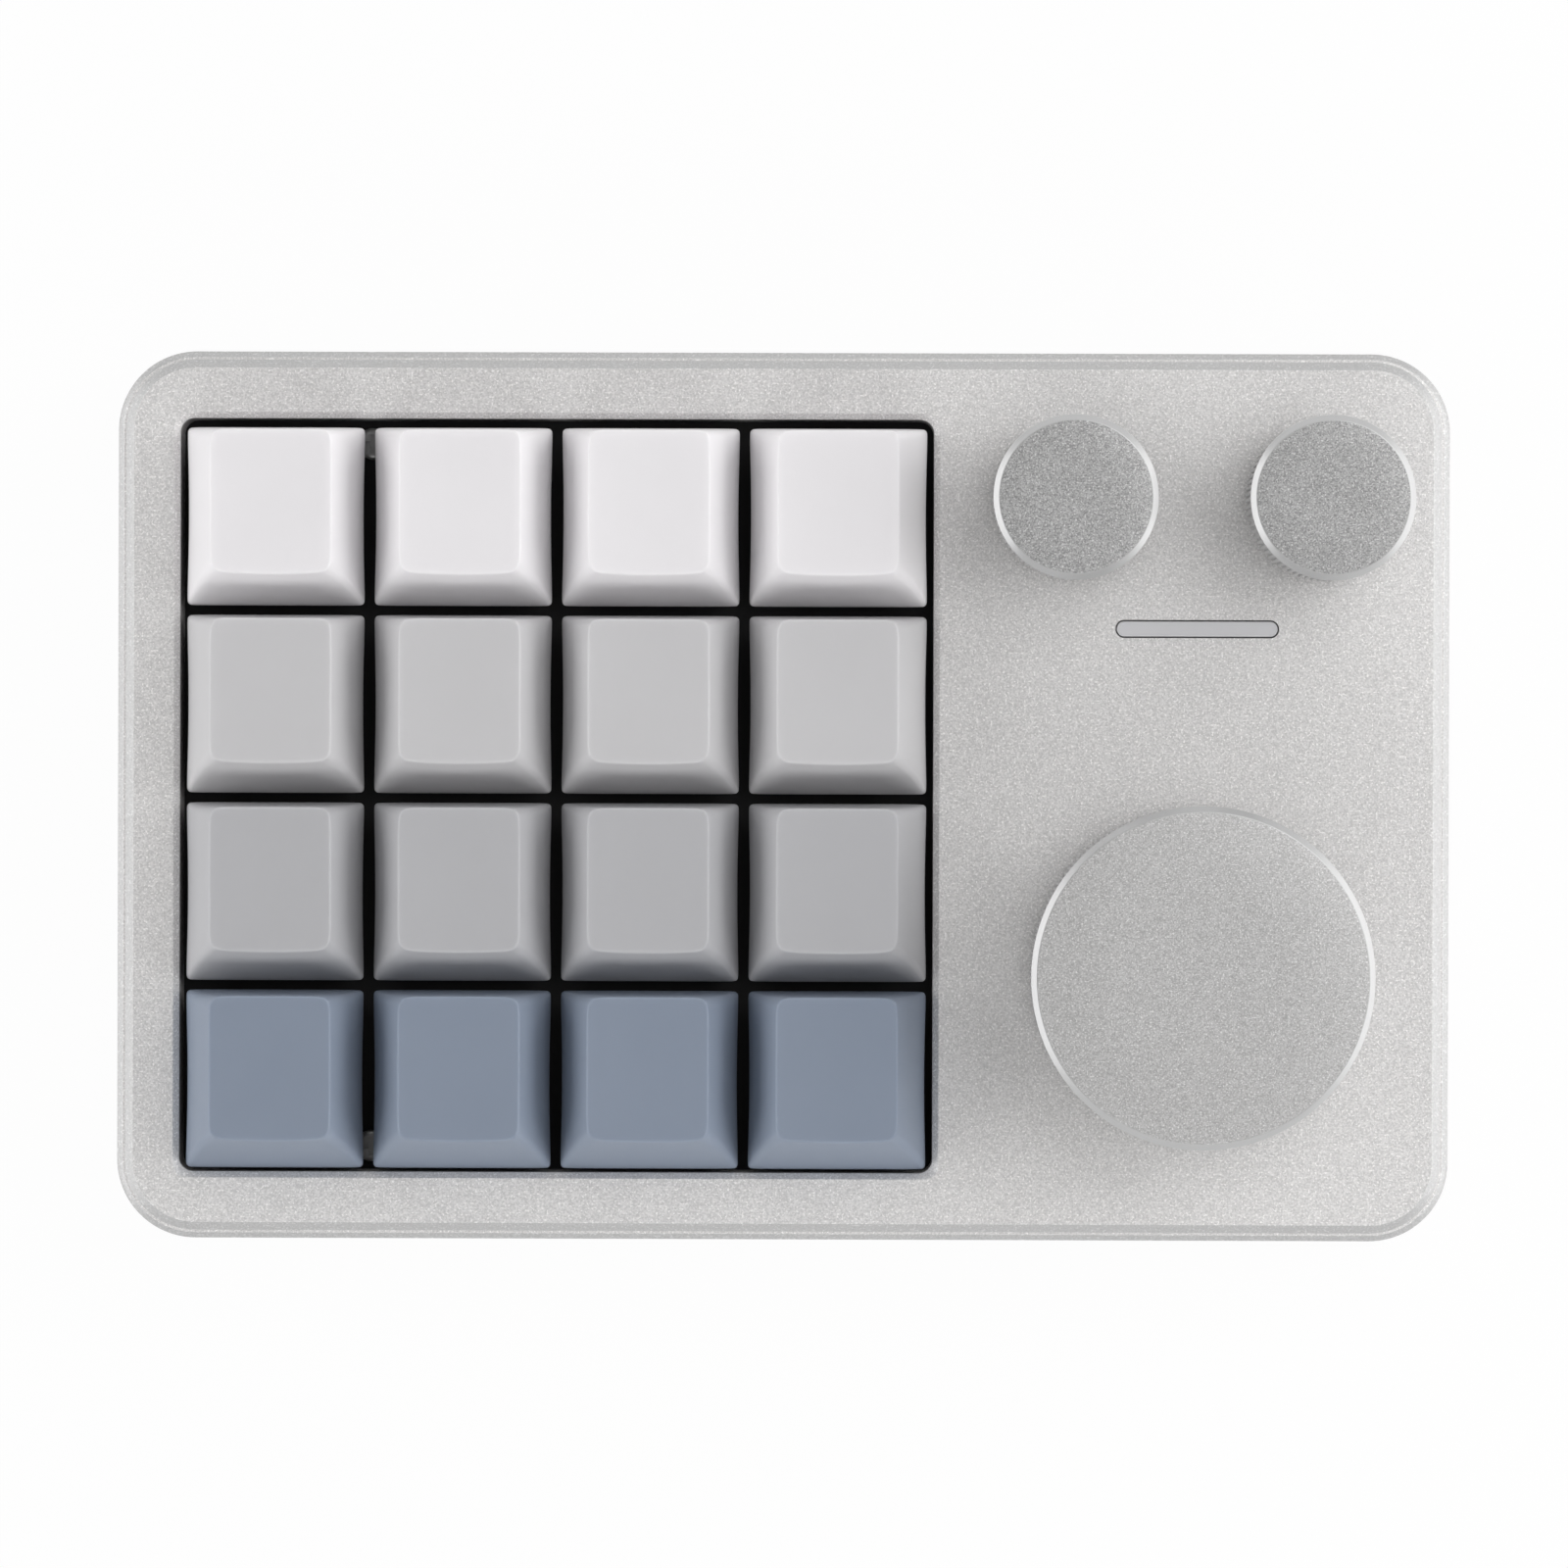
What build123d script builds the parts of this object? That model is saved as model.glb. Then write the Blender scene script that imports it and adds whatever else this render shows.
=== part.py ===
"""Desk macro keypad: a four by four key field and three push-and-turn knobs in a stepped metal case.

Millimetres. +X is to the right, +Y away from the user, +Z up. The origin is on the desk, under the
middle of the case. Rows are counted from the back and columns from the left.
"""
import os

from build123d import *

os.makedirs("parts", exist_ok=True)

# %% Driving dimensions: case
case_length = 135.4
case_width = 90.2
case_corner_radius = 8.0
case_wall = 4.5
bay_corner_radius = 6.0
rim_chamfer = 0.6
rim_ledge = 0.25
top_chamfer = 0.85
top_riser = 0.15
panel_thickness = 2.5
bottom_thickness = 2.4
bottom_inset = 0.4
bottom_chamfer = 0.8

# %% Driving dimensions: stack from the desk upwards
foot_stand = 1.6
board_standoff = 3.2
board_thickness = 1.6
plate_above_board = 5.0
plate_thickness = 1.5
well_depth = 6.5

# %% Driving dimensions: key field
key_rows = 4
key_columns = 4
key_gap = 0.85
key_field_shift = -0.3
well_margin = 6.39
well_gap = 0.605
well_corner_radius = 1.4
well_chamfer = 0.6
divider_wall = 3.0
plate_tab = 4.2
plate_tab_width = 6.0
plate_tab_radius = 1.5
plate_screw_inset = 4.7
tab_screw_inset = 26.1

# %% Driving dimensions: key switch
switch_hole = 14.0
switch_body = 13.9
switch_flange = 15.6
switch_flange_thickness = 0.8
switch_wall = 1.2
switch_floor = 1.0
switch_height = 6.6
switch_top_length = 10.2
switch_top_width = 10.6
switch_top_wall = 1.2
switch_side_wall = 0.8
key_travel = 4.0
post_diameter = 4.0
post_length = 3.3
post_bottom = 0.5
slider_length = 7.0
slider_width = 5.7
slider_floor_gap = 0.1
slider_clearance = 0.1
wing_span = 8.2
wing_width = 3.0
wing_height = 4.6
wing_clearance = 0.1
pole_diameter = 2.9
pole_clearance = 0.12
pole_floor_gap = 0.1
cross_span = 4.0
cross_height = 3.6
cross_arm_across = 1.3
cross_arm_along = 1.1
spring_diameter = 4.4
spring_wire = 0.26
spring_turns = 8
spring_clearance = 0.12
spring_pocket = 4.5

# %% Driving dimensions: keycap
keycap_skirt = 18.2
keycap_skirt_radius = 0.9
keycap_height = 8.2
keycap_pressed_gap = 1.5
keycap_top_length = 12.2
keycap_top_width = 14.4
keycap_top_radius = 1.5
keycap_top_shift = 1.45
keycap_wall = 1.2
keycap_roof = 1.4
keycap_dish_depth = 0.55
keycap_post_diameter = 5.5
cross_clearance = 0.03
cross_socket_depth = 3.9

# %% Driving dimensions: knobs and their encoders
encoder_left_share = 0.2351
encoder_right_share = 0.1034
small_knob_inset = 15.1
large_knob_inset = 27.2
small_knob_share = 0.3223
large_knob_share = 0.67
knob_height = 15.0
knob_pressed_gap = 0.5
knob_chamfer = 0.58
knob_collar = 0.6
knob_groove_width = 0.35
knob_groove_depth = 0.35
knob_grip_step = 0.18
knob_foot_chamfer = 0.4
knob_recess_share = 0.59
knob_recess_depth = 3.4
large_knob_hub_radius = 7.0
large_knob_wall = 3.2
large_knob_roof = 4.0
encoder_length = 12.0
encoder_width = 11.7
encoder_base_height = 5.7
encoder_base_floor = 1.0
encoder_drum_radius = 5.2
encoder_cover_thickness = 0.8
encoder_lug_width = 2.1
encoder_lug_thickness = 0.4
bushing_radius = 3.5
bushing_length = 7.0
bushing_hole_clearance = 0.2
shaft_radius = 3.0
shaft_length = 15.0
shaft_clearance = 0.03
shaft_flat_offset = 1.5
shaft_flat_length = 7.0
shaft_tip_gap = 1.0
shaft_key_radius = 2.0
shaft_key_half_flat = 1.5
shaft_shoulder_gap = 0.2
shaft_end_gap = 0.3
push_travel = 0.5
rotor_radius = 5.0
rotor_thickness = 1.8
rotor_hub_radius = 3.2
rotor_clearance = 0.2
grub_radius = 1.5
grub_length = 4.0
grub_clearance = 0.03
grub_height = 6.2
grub_socket = 1.5
grub_socket_depth = 1.5

# %% Driving dimensions: light bar, port, fasteners, feet and board parts
light_bar_length = 16.35
light_bar_width = 1.57
light_bar_inset = 28.0
light_bar_gap = 0.12
light_bar_sink = 0.1
light_flange_margin = 1.4
light_flange_thickness = 1.0
light_source_side = 2.0
light_source_height = 0.8
light_source_spacing = 4.5
light_source_count = 4
port_shell_length = 8.94
port_shell_height = 3.16
port_shell_wall = 0.3
port_depth = 7.3
port_mouth_depth = 6.2
port_tongue_length = 6.69
port_tongue_height = 0.7
port_tongue_depth = 4.45
port_clearance = 0.12
plug_recess_length = 12.6
plug_recess_height = 7.0
plug_recess_depth = 1.8
plug_recess_radius = 2.4
case_screw_radius = 1.0
case_screw_length = 10.0
case_screw_head_radius = 1.9
case_screw_corner_inset = 4.6
screw_radius = 1.0
screw_length = 5.0
screw_head_radius = 1.6
screw_head_height = 1.3
screw_head_edge = 0.5
cross_recess_length = 1.9
cross_recess_width = 0.5
cross_recess_depth = 0.7
screw_fit = 0.02
screw_clearance = 0.12
standoff_radius = 1.6
standoff_hex_radius = 2.5
standoff_press_radius = 2.0
standoff_press_depth = 1.4
board_screw_share = 0.6055
board_screw_drop = 19.0
board_screw_front_drop = 15.5
board_post_radius = 2.5
board_post_hole_floor = 0.8
foot_radius = 5.0
foot_pocket_depth = 0.4
foot_pocket_clearance = 0.1
foot_edge = 0.4
foot_inset_x = 11.0
foot_inset_y = 10.0
bay_clearance = 0.3
controller_side = 7.0
controller_height = 1.4
crystal_length = 3.2
crystal_width = 2.5
crystal_height = 0.8
socket_length = 10.9
socket_width = 4.6
socket_height = 1.85
socket_offset_x = -0.6
socket_offset_y = 4.6
diode_length = 2.7
diode_width = 1.6
diode_height = 1.2
diode_offset_y = -6.0

# %% Levels
bottom_z = foot_stand
floor_z = bottom_z + bottom_thickness
board_z = floor_z + board_standoff
board_top_z = board_z + board_thickness
plate_top_z = board_top_z + plate_above_board
plate_z = plate_top_z - plate_thickness
case_top_z = plate_top_z + well_depth
ledge_z = case_top_z - top_chamfer - top_riser
panel_z = case_top_z - panel_thickness
housing_top_z = plate_top_z + switch_height
keycap_z = plate_top_z + keycap_pressed_gap + key_travel
keycap_top_z = keycap_z + keycap_height
knob_z = case_top_z + knob_pressed_gap + push_travel
knob_top_z = knob_z + knob_height
port_z = board_top_z + port_shell_height / 2

# %% Plan positions
bay_length = case_length - 2 * case_wall
bay_width = case_width - 2 * case_wall
key_pitch = keycap_skirt + key_gap
well_length = (key_columns - 1) * key_pitch + keycap_skirt + 2 * well_gap
well_width = (key_rows - 1) * key_pitch + keycap_skirt + 2 * well_gap
well_x = -case_length / 2 + well_margin + well_length / 2
knob_bay_left = well_x + well_length / 2 + divider_wall
knob_bay_right = bay_length / 2
encoder_span = encoder_length + 2 * encoder_lug_thickness
encoder_play = knob_bay_right - knob_bay_left - 2 * encoder_span
left_knob_x = knob_bay_left + encoder_left_share * encoder_play + encoder_span / 2
right_knob_x = knob_bay_right - encoder_right_share * encoder_play - encoder_span / 2
small_knob_spacing = right_knob_x - left_knob_x
knob_x = (left_knob_x + right_knob_x) / 2
small_knob_y = case_width / 2 - small_knob_inset
large_knob_y = large_knob_inset - case_width / 2
light_bar_y = case_width / 2 - light_bar_inset
small_knob_radius = small_knob_share * small_knob_spacing
large_knob_radius = large_knob_share * small_knob_spacing
knob_recess_radius = bushing_radius + knob_recess_share * (small_knob_radius - bushing_radius)
plate_left = -bay_length / 2 + bay_clearance
plate_right = knob_bay_left
screw_corner_x = case_length / 2 - case_screw_corner_inset
screw_corner_y = case_width / 2 - case_screw_corner_inset
case_screw_spots = [
    (side_x * screw_corner_x, side_y * screw_corner_y) for side_x in (-1, 1) for side_y in (-1, 1)
]
key_centres = [
    (
        f"r{row + 1}c{column + 1}",
        well_x + (column - (key_columns - 1) / 2) * key_pitch,
        ((key_rows - 1) / 2 - row) * key_pitch + key_field_shift,
    )
    for row in range(key_rows)
    for column in range(key_columns)
]
key_spots = [(x, y) for _, x, y in key_centres]
plate_screw_x = well_x - key_pitch
plate_screw_y = bay_width / 2 - plate_screw_inset
tab_screw_x = knob_bay_left + plate_tab / 2
tab_screw_y = case_width / 2 - tab_screw_inset
board_screw_reach = board_screw_share * small_knob_spacing
plate_screw_spots = [
    (plate_screw_x, plate_screw_y),
    (plate_screw_x, -plate_screw_y),
    (tab_screw_x, tab_screw_y),
    (tab_screw_x, -tab_screw_y),
]
board_screw_spots = [
    (knob_x + board_screw_reach, small_knob_y - board_screw_drop),
    (knob_x + board_screw_reach, large_knob_y - board_screw_front_drop),
    (knob_x - board_screw_reach, large_knob_y - board_screw_front_drop),
]
knobs = [
    ("back_left", left_knob_x, small_knob_y, small_knob_radius),
    ("back_right", right_knob_x, small_knob_y, small_knob_radius),
    ("front", knob_x, large_knob_y, large_knob_radius),
]
knob_spots = [(x, y) for _, x, y, _ in knobs]
foot_spots = [
    (side_x * (case_length / 2 - foot_inset_x), side_y * (case_width / 2 - foot_inset_y))
    for side_x in (-1, 1)
    for side_y in (-1, 1)
]


def save(shape, name):
    """Label one finished piece and write it as its own STEP file."""
    shape.label = name
    export_step(shape, f"parts/{name}.step")


def facing_down(spots, height):
    """Locations whose own Z points at the desk, for features made from below."""
    return [Location((x, y, height), (180, 0, 0)) for x, y in spots]


def facing_up(spots, height):
    """Locations at one height whose own Z points up."""
    return [Location((x, y, height)) for x, y in spots]


# %% Top case: walls, stepped rim, panel over the knobs and the open key well
with BuildPart() as top_case:
    with BuildSketch(Plane.XY.offset(floor_z)):
        RectangleRounded(case_length, case_width, case_corner_radius)
    extrude(amount=ledge_z - floor_z)
    chamfer(top_case.faces().sort_by(Axis.Z)[-1].edges(), rim_chamfer)

    step = rim_chamfer + rim_ledge
    with BuildSketch(Plane.XY.offset(ledge_z)):
        RectangleRounded(case_length - 2 * step, case_width - 2 * step, case_corner_radius - step)
    extrude(amount=case_top_z - ledge_z)
    chamfer(top_case.faces().sort_by(Axis.Z)[-1].edges(), top_chamfer)

    with BuildSketch(Plane.XY.offset(plate_top_z)):
        with Locations((well_x, 0)):
            RectangleRounded(well_length, well_width, well_corner_radius)
    extrude(amount=well_depth, mode=Mode.SUBTRACT)
    chamfer(top_case.faces().sort_by(Axis.Z)[-1].inner_wires()[0].edges(), well_chamfer)

    with BuildSketch(Plane.XY.offset(floor_z)):
        RectangleRounded(bay_length, bay_width, bay_corner_radius)
    extrude(amount=plate_top_z - floor_z, mode=Mode.SUBTRACT)

    with BuildSketch(Plane.XY.offset(plate_top_z)):
        with Locations(((knob_bay_left + knob_bay_right) / 2, 0)):
            RectangleRounded(knob_bay_right - knob_bay_left, bay_width, bay_corner_radius)
    extrude(amount=panel_z - plate_top_z, mode=Mode.SUBTRACT)

    with BuildSketch(Plane.XY.offset(panel_z)):
        with Locations(*knob_spots):
            Circle(bushing_radius + bushing_hole_clearance)
        with Locations((knob_x, light_bar_y)):
            SlotOverall(light_bar_length + 2 * light_bar_gap, light_bar_width + 2 * light_bar_gap)
    extrude(amount=panel_thickness, mode=Mode.SUBTRACT)

    back_face = Plane(origin=(knob_x, case_width / 2, port_z), x_dir=(1, 0, 0), z_dir=(0, 1, 0))
    with BuildSketch(back_face):
        RectangleRounded(plug_recess_length, plug_recess_height, plug_recess_radius)
    extrude(amount=-plug_recess_depth, mode=Mode.SUBTRACT)
    with BuildSketch(back_face):
        SlotOverall(port_shell_length + 2 * port_clearance, port_shell_height + 2 * port_clearance)
    extrude(amount=-case_wall, mode=Mode.SUBTRACT)

    with BuildSketch(Plane.XY.offset(floor_z)):
        with Locations(*case_screw_spots):
            Circle(case_screw_radius + screw_fit)
    extrude(amount=case_screw_length - bottom_thickness, mode=Mode.SUBTRACT)
save(top_case.part, "top_case")

# %% Bottom plate: closes the case, carries the feet and the posts under the board
with BuildPart() as bottom_plate:
    with BuildSketch(Plane.XY.offset(bottom_z)):
        RectangleRounded(
            case_length - 2 * bottom_inset, case_width - 2 * bottom_inset, case_corner_radius - bottom_inset
        )
    extrude(amount=bottom_thickness)
    chamfer(bottom_plate.faces().sort_by(Axis.Z)[0].edges(), bottom_chamfer)

    with BuildSketch(Plane.XY.offset(floor_z)):
        with Locations(*board_screw_spots):
            Circle(board_post_radius)
    extrude(amount=board_standoff)

    with BuildSketch(Plane.XY.offset(bottom_z)):
        with Locations(*foot_spots):
            Circle(foot_radius + foot_pocket_clearance)
    extrude(amount=foot_pocket_depth, mode=Mode.SUBTRACT)

    with Locations(*facing_down(case_screw_spots, bottom_z)):
        CounterSinkHole(
            case_screw_radius + screw_clearance,
            case_screw_head_radius + screw_fit,
            depth=bottom_thickness,
            counter_sink_angle=90,
        )
    with Locations(*facing_up(plate_screw_spots, floor_z)):
        Hole(standoff_press_radius, depth=standoff_press_depth)
    with Locations(*facing_up(board_screw_spots, board_z)):
        Hole(screw_radius + screw_fit, depth=board_z - bottom_z - board_post_hole_floor)
save(bottom_plate.part, "bottom_plate")

# %% Rubber feet, stuck in shallow pockets
with BuildPart() as rubber_feet:
    with BuildSketch():
        with Locations(*foot_spots):
            Circle(foot_radius)
    extrude(amount=foot_stand + foot_pocket_depth)
    chamfer(rubber_feet.faces().group_by(Axis.Z)[0].edges(), foot_edge)
save(rubber_feet.part, "rubber_feet")

# %% Brass standoffs between the bottom plate, the board and the key plate
with BuildPart() as brass_standoffs:
    with BuildSketch(Plane.XY.offset(floor_z - standoff_press_depth)):
        with Locations(*plate_screw_spots):
            Circle(standoff_press_radius)
    extrude(amount=standoff_press_depth)
    with BuildSketch(Plane.XY.offset(floor_z)):
        with Locations(*plate_screw_spots):
            RegularPolygon(standoff_hex_radius, 6)
    extrude(amount=board_standoff)
    with BuildSketch(Plane.XY.offset(board_z)):
        with Locations(*plate_screw_spots):
            Circle(standoff_radius)
    extrude(amount=plate_z - board_z)
    with Locations(*facing_up(plate_screw_spots, plate_z)):
        Hole(screw_radius + screw_fit, depth=screw_length)
save(brass_standoffs.part, "brass_standoffs")

# %% Case screws: countersunk, up through the bottom plate into the walls
with BuildPart() as case_screws:
    head_height = case_screw_head_radius - case_screw_radius
    with BuildSketch(Plane.XY.offset(bottom_z)):
        with Locations(*case_screw_spots):
            Circle(case_screw_head_radius)
    extrude(amount=head_height, taper=45)
    with BuildSketch(Plane.XY.offset(bottom_z)):
        with Locations(*case_screw_spots):
            Circle(case_screw_radius)
    extrude(amount=case_screw_length)
    with BuildSketch(Plane.XY.offset(bottom_z)):
        with Locations(*case_screw_spots):
            Rectangle(cross_recess_length, cross_recess_width)
            Rectangle(cross_recess_width, cross_recess_length)
    extrude(amount=cross_recess_depth, mode=Mode.SUBTRACT)
save(case_screws.part, "case_screws")

# %% Pan-head screws: four hold the key plate, three hold the board
with BuildPart() as pan_screws:
    for spots, seat_z in ((plate_screw_spots, plate_top_z), (board_screw_spots, board_top_z)):
        with BuildSketch(Plane.XY.offset(seat_z)):
            with Locations(*spots):
                Circle(screw_head_radius)
        extrude(amount=screw_head_height)
        fillet(pan_screws.edges(Select.LAST).group_by(Axis.Z)[-1], screw_head_edge)
        with BuildSketch(Plane.XY.offset(seat_z)):
            with Locations(*spots):
                Circle(screw_radius)
        extrude(amount=-screw_length)
        with BuildSketch(Plane.XY.offset(seat_z + screw_head_height)):
            with Locations(*spots):
                Rectangle(cross_recess_length, cross_recess_width)
                Rectangle(cross_recess_width, cross_recess_length)
        extrude(amount=-cross_recess_depth, mode=Mode.SUBTRACT)
save(pan_screws.part, "pan_screws")

# %% Key plate: a flat sheet with one square hole for each switch and two tabs past the divider
with BuildPart() as key_plate:
    with BuildSketch(Plane.XY.offset(plate_z)):
        with Locations(((plate_left + plate_right) / 2, 0)):
            RectangleRounded(
                plate_right - plate_left, bay_width - 2 * bay_clearance, bay_corner_radius - bay_clearance
            )
        with Locations((knob_bay_left, tab_screw_y), (knob_bay_left, -tab_screw_y)):
            RectangleRounded(2 * plate_tab, plate_tab_width, plate_tab_radius)
        with Locations(*key_spots):
            Rectangle(switch_hole, switch_hole, mode=Mode.SUBTRACT)
        with Locations(*plate_screw_spots):
            Circle(screw_radius + screw_clearance, mode=Mode.SUBTRACT)
    extrude(amount=plate_thickness)
save(key_plate.part, "key_plate")

# %% Circuit board: one board under the keys and the encoders
with BuildPart() as circuit_board:
    with BuildSketch(Plane.XY.offset(board_z)):
        RectangleRounded(
            bay_length - 2 * bay_clearance, bay_width - 2 * bay_clearance, bay_corner_radius - bay_clearance
        )
        with Locations(*key_spots):
            Circle(post_diameter / 2 + screw_clearance, mode=Mode.SUBTRACT)
        with Locations(*plate_screw_spots):
            Circle(standoff_radius + screw_clearance, mode=Mode.SUBTRACT)
        with Locations(*board_screw_spots):
            Circle(screw_radius + screw_clearance, mode=Mode.SUBTRACT)
    extrude(amount=board_thickness)
save(circuit_board.part, "circuit_board")

# %% Board parts: light sources, controller, crystal, and a socket and a diode under each switch
with BuildPart() as board_parts:
    with BuildSketch(Plane.XY.offset(board_top_z)):
        with Locations((knob_x, light_bar_y)):
            with GridLocations(light_source_spacing, light_source_side, light_source_count, 1):
                Rectangle(light_source_side, light_source_side)
    extrude(amount=light_source_height)
    controller_y = (light_bar_y + large_knob_y + encoder_width / 2) / 2
    with BuildSketch(Plane.XY.offset(board_top_z)):
        with Locations((knob_x, controller_y)):
            Rectangle(controller_side, controller_side)
    extrude(amount=controller_height)
    with BuildSketch(Plane.XY.offset(board_top_z)):
        with Locations((knob_x - controller_side, controller_y)):
            Rectangle(crystal_width, crystal_length)
    extrude(amount=crystal_height)
    with BuildSketch(Plane.XY.offset(board_z)):
        with Locations(*[(x + socket_offset_x, y + socket_offset_y) for x, y in key_spots]):
            Rectangle(socket_length, socket_width)
    extrude(amount=-socket_height)
    with BuildSketch(Plane.XY.offset(board_z)):
        with Locations(*[(x, y + diode_offset_y) for x, y in key_spots]):
            Rectangle(diode_length, diode_width)
    extrude(amount=-diode_height)
save(board_parts.part, "board_parts")

# %% USB-C socket, standing on the back edge of the board
port_mouth_y = case_width / 2 - plug_recess_depth
with BuildPart() as usb_c_socket:
    mouth = Plane(origin=(knob_x, port_mouth_y, port_z), x_dir=(1, 0, 0), z_dir=(0, 1, 0))
    with BuildSketch(mouth):
        SlotOverall(port_shell_length, port_shell_height)
    extrude(amount=-port_depth)
    with BuildSketch(mouth):
        SlotOverall(port_shell_length - 2 * port_shell_wall, port_shell_height - 2 * port_shell_wall)
    extrude(amount=-port_mouth_depth, mode=Mode.SUBTRACT)
    with BuildSketch(mouth.offset(-port_mouth_depth)):
        Rectangle(port_tongue_length, port_tongue_height)
    extrude(amount=port_tongue_depth)
save(usb_c_socket.part, "usb_c_socket")

# %% Light bar lens, glued under its slot in the panel
with BuildPart() as light_bar_lens:
    with BuildSketch(Plane.XY.offset(panel_z - light_flange_thickness)):
        with Locations((knob_x, light_bar_y)):
            SlotOverall(
                light_bar_length + 2 * light_flange_margin, light_bar_width + 2 * light_flange_margin
            )
    extrude(amount=light_flange_thickness)
    with BuildSketch(Plane.XY.offset(panel_z)):
        with Locations((knob_x, light_bar_y)):
            SlotOverall(light_bar_length, light_bar_width)
    extrude(amount=panel_thickness - light_bar_sink)
save(light_bar_lens.part, "light_bar_lens")

# %% Lower switch housings: through the plate, standing on the board, with the pole guide below
housing_floor_z = board_top_z + switch_floor
flange_top_z = plate_top_z + switch_flange_thickness
with BuildPart() as lower_housings:
    with BuildSketch(Plane.XY.offset(board_top_z)):
        with Locations(*key_spots):
            RectangleRounded(switch_body, switch_body, switch_wall / 2)
    extrude(amount=flange_top_z - board_top_z)
    with BuildSketch(Plane.XY.offset(plate_top_z)):
        with Locations(*key_spots):
            RectangleRounded(switch_flange, switch_flange, switch_wall / 2)
    extrude(amount=switch_flange_thickness)
    with BuildSketch(Plane.XY.offset(board_top_z)):
        with Locations(*key_spots):
            Circle(post_diameter / 2)
    extrude(amount=-post_length)
    with BuildSketch(Plane.XY.offset(housing_floor_z)):
        with Locations(*key_spots):
            Rectangle(switch_body - 2 * switch_wall, switch_body - 2 * switch_wall)
    extrude(amount=flange_top_z - housing_floor_z, mode=Mode.SUBTRACT)
    with Locations(*facing_up(key_spots, housing_floor_z)):
        Hole(
            pole_diameter / 2 + pole_clearance,
            depth=switch_floor + post_length - post_bottom,
        )
save(lower_housings.part, "switch_lower_housings")

# %% Upper switch housings: tapered hoods that keep the sliders in
hood_roof_z = housing_top_z - switch_top_wall
with BuildPart() as upper_housing:
    with BuildSketch(Plane.XY.offset(flange_top_z)):
        Rectangle(switch_body, switch_body)
    with BuildSketch(Plane.XY.offset(housing_top_z)):
        Rectangle(switch_top_length, switch_top_width)
    loft()
    with BuildSketch(Plane.XY.offset(flange_top_z)):
        Rectangle(switch_body - 2 * switch_wall, switch_body - 2 * switch_wall)
    with BuildSketch(Plane.XY.offset(hood_roof_z)):
        Rectangle(switch_top_length - switch_side_wall, switch_top_width - switch_side_wall)
    loft(mode=Mode.SUBTRACT)
    with BuildSketch(Plane.XY.offset(hood_roof_z)):
        Rectangle(slider_length + 2 * slider_clearance, slider_width + 2 * slider_clearance)
    extrude(amount=switch_top_wall, mode=Mode.SUBTRACT)
save(Compound(children=[Pos(x, y, 0) * upper_housing.part for x, y in key_spots]), "switch_upper_housings")

# %% Switch springs: coils between each housing's floor and its slider
slider_bottom_z = housing_floor_z + slider_floor_gap + key_travel
pocket_roof_z = slider_bottom_z + spring_pocket
spring_low_z = housing_floor_z + spring_wire / 2
spring_high_z = pocket_roof_z - spring_wire / 2
with BuildPart() as switch_spring:
    with BuildLine(Plane.XY.offset(spring_low_z)) as coil:
        Helix(
            pitch=(spring_high_z - spring_low_z) / spring_turns,
            height=spring_high_z - spring_low_z,
            radius=spring_diameter / 2 - spring_wire / 2,
        )
    with BuildSketch(Plane(coil.line @ 0, z_dir=coil.line % 0)):
        Circle(spring_wire / 2)
    sweep(path=coil.line, is_frenet=True)
save(Compound(children=[Pos(x, y, 0) * switch_spring.part for x, y in key_spots]), "switch_springs")

# %% Stem: the slider with its guide pole, stop wings and the cross that the keycap grips
pole_tip_z = board_top_z - post_length + post_bottom + pole_floor_gap + key_travel
with BuildPart() as stem:
    with BuildSketch(Plane.XY.offset(slider_bottom_z)):
        Rectangle(slider_length, slider_width)
    extrude(amount=housing_top_z - slider_bottom_z)
    with BuildSketch(Plane.XY.offset(hood_roof_z - wing_clearance)):
        Rectangle(wing_span, wing_width)
    extrude(amount=-wing_height)
    with BuildSketch(Plane.XY.offset(slider_bottom_z)):
        Circle(spring_diameter / 2 + spring_clearance)
    extrude(amount=spring_pocket, mode=Mode.SUBTRACT)
    with BuildSketch(Plane.XY.offset(pole_tip_z)):
        Circle(pole_diameter / 2)
    extrude(amount=pocket_roof_z - pole_tip_z)
    with BuildSketch(Plane.XY.offset(housing_top_z)):
        Rectangle(cross_span, cross_arm_along)
        Rectangle(cross_arm_across, cross_span)
    extrude(amount=cross_height)

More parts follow.
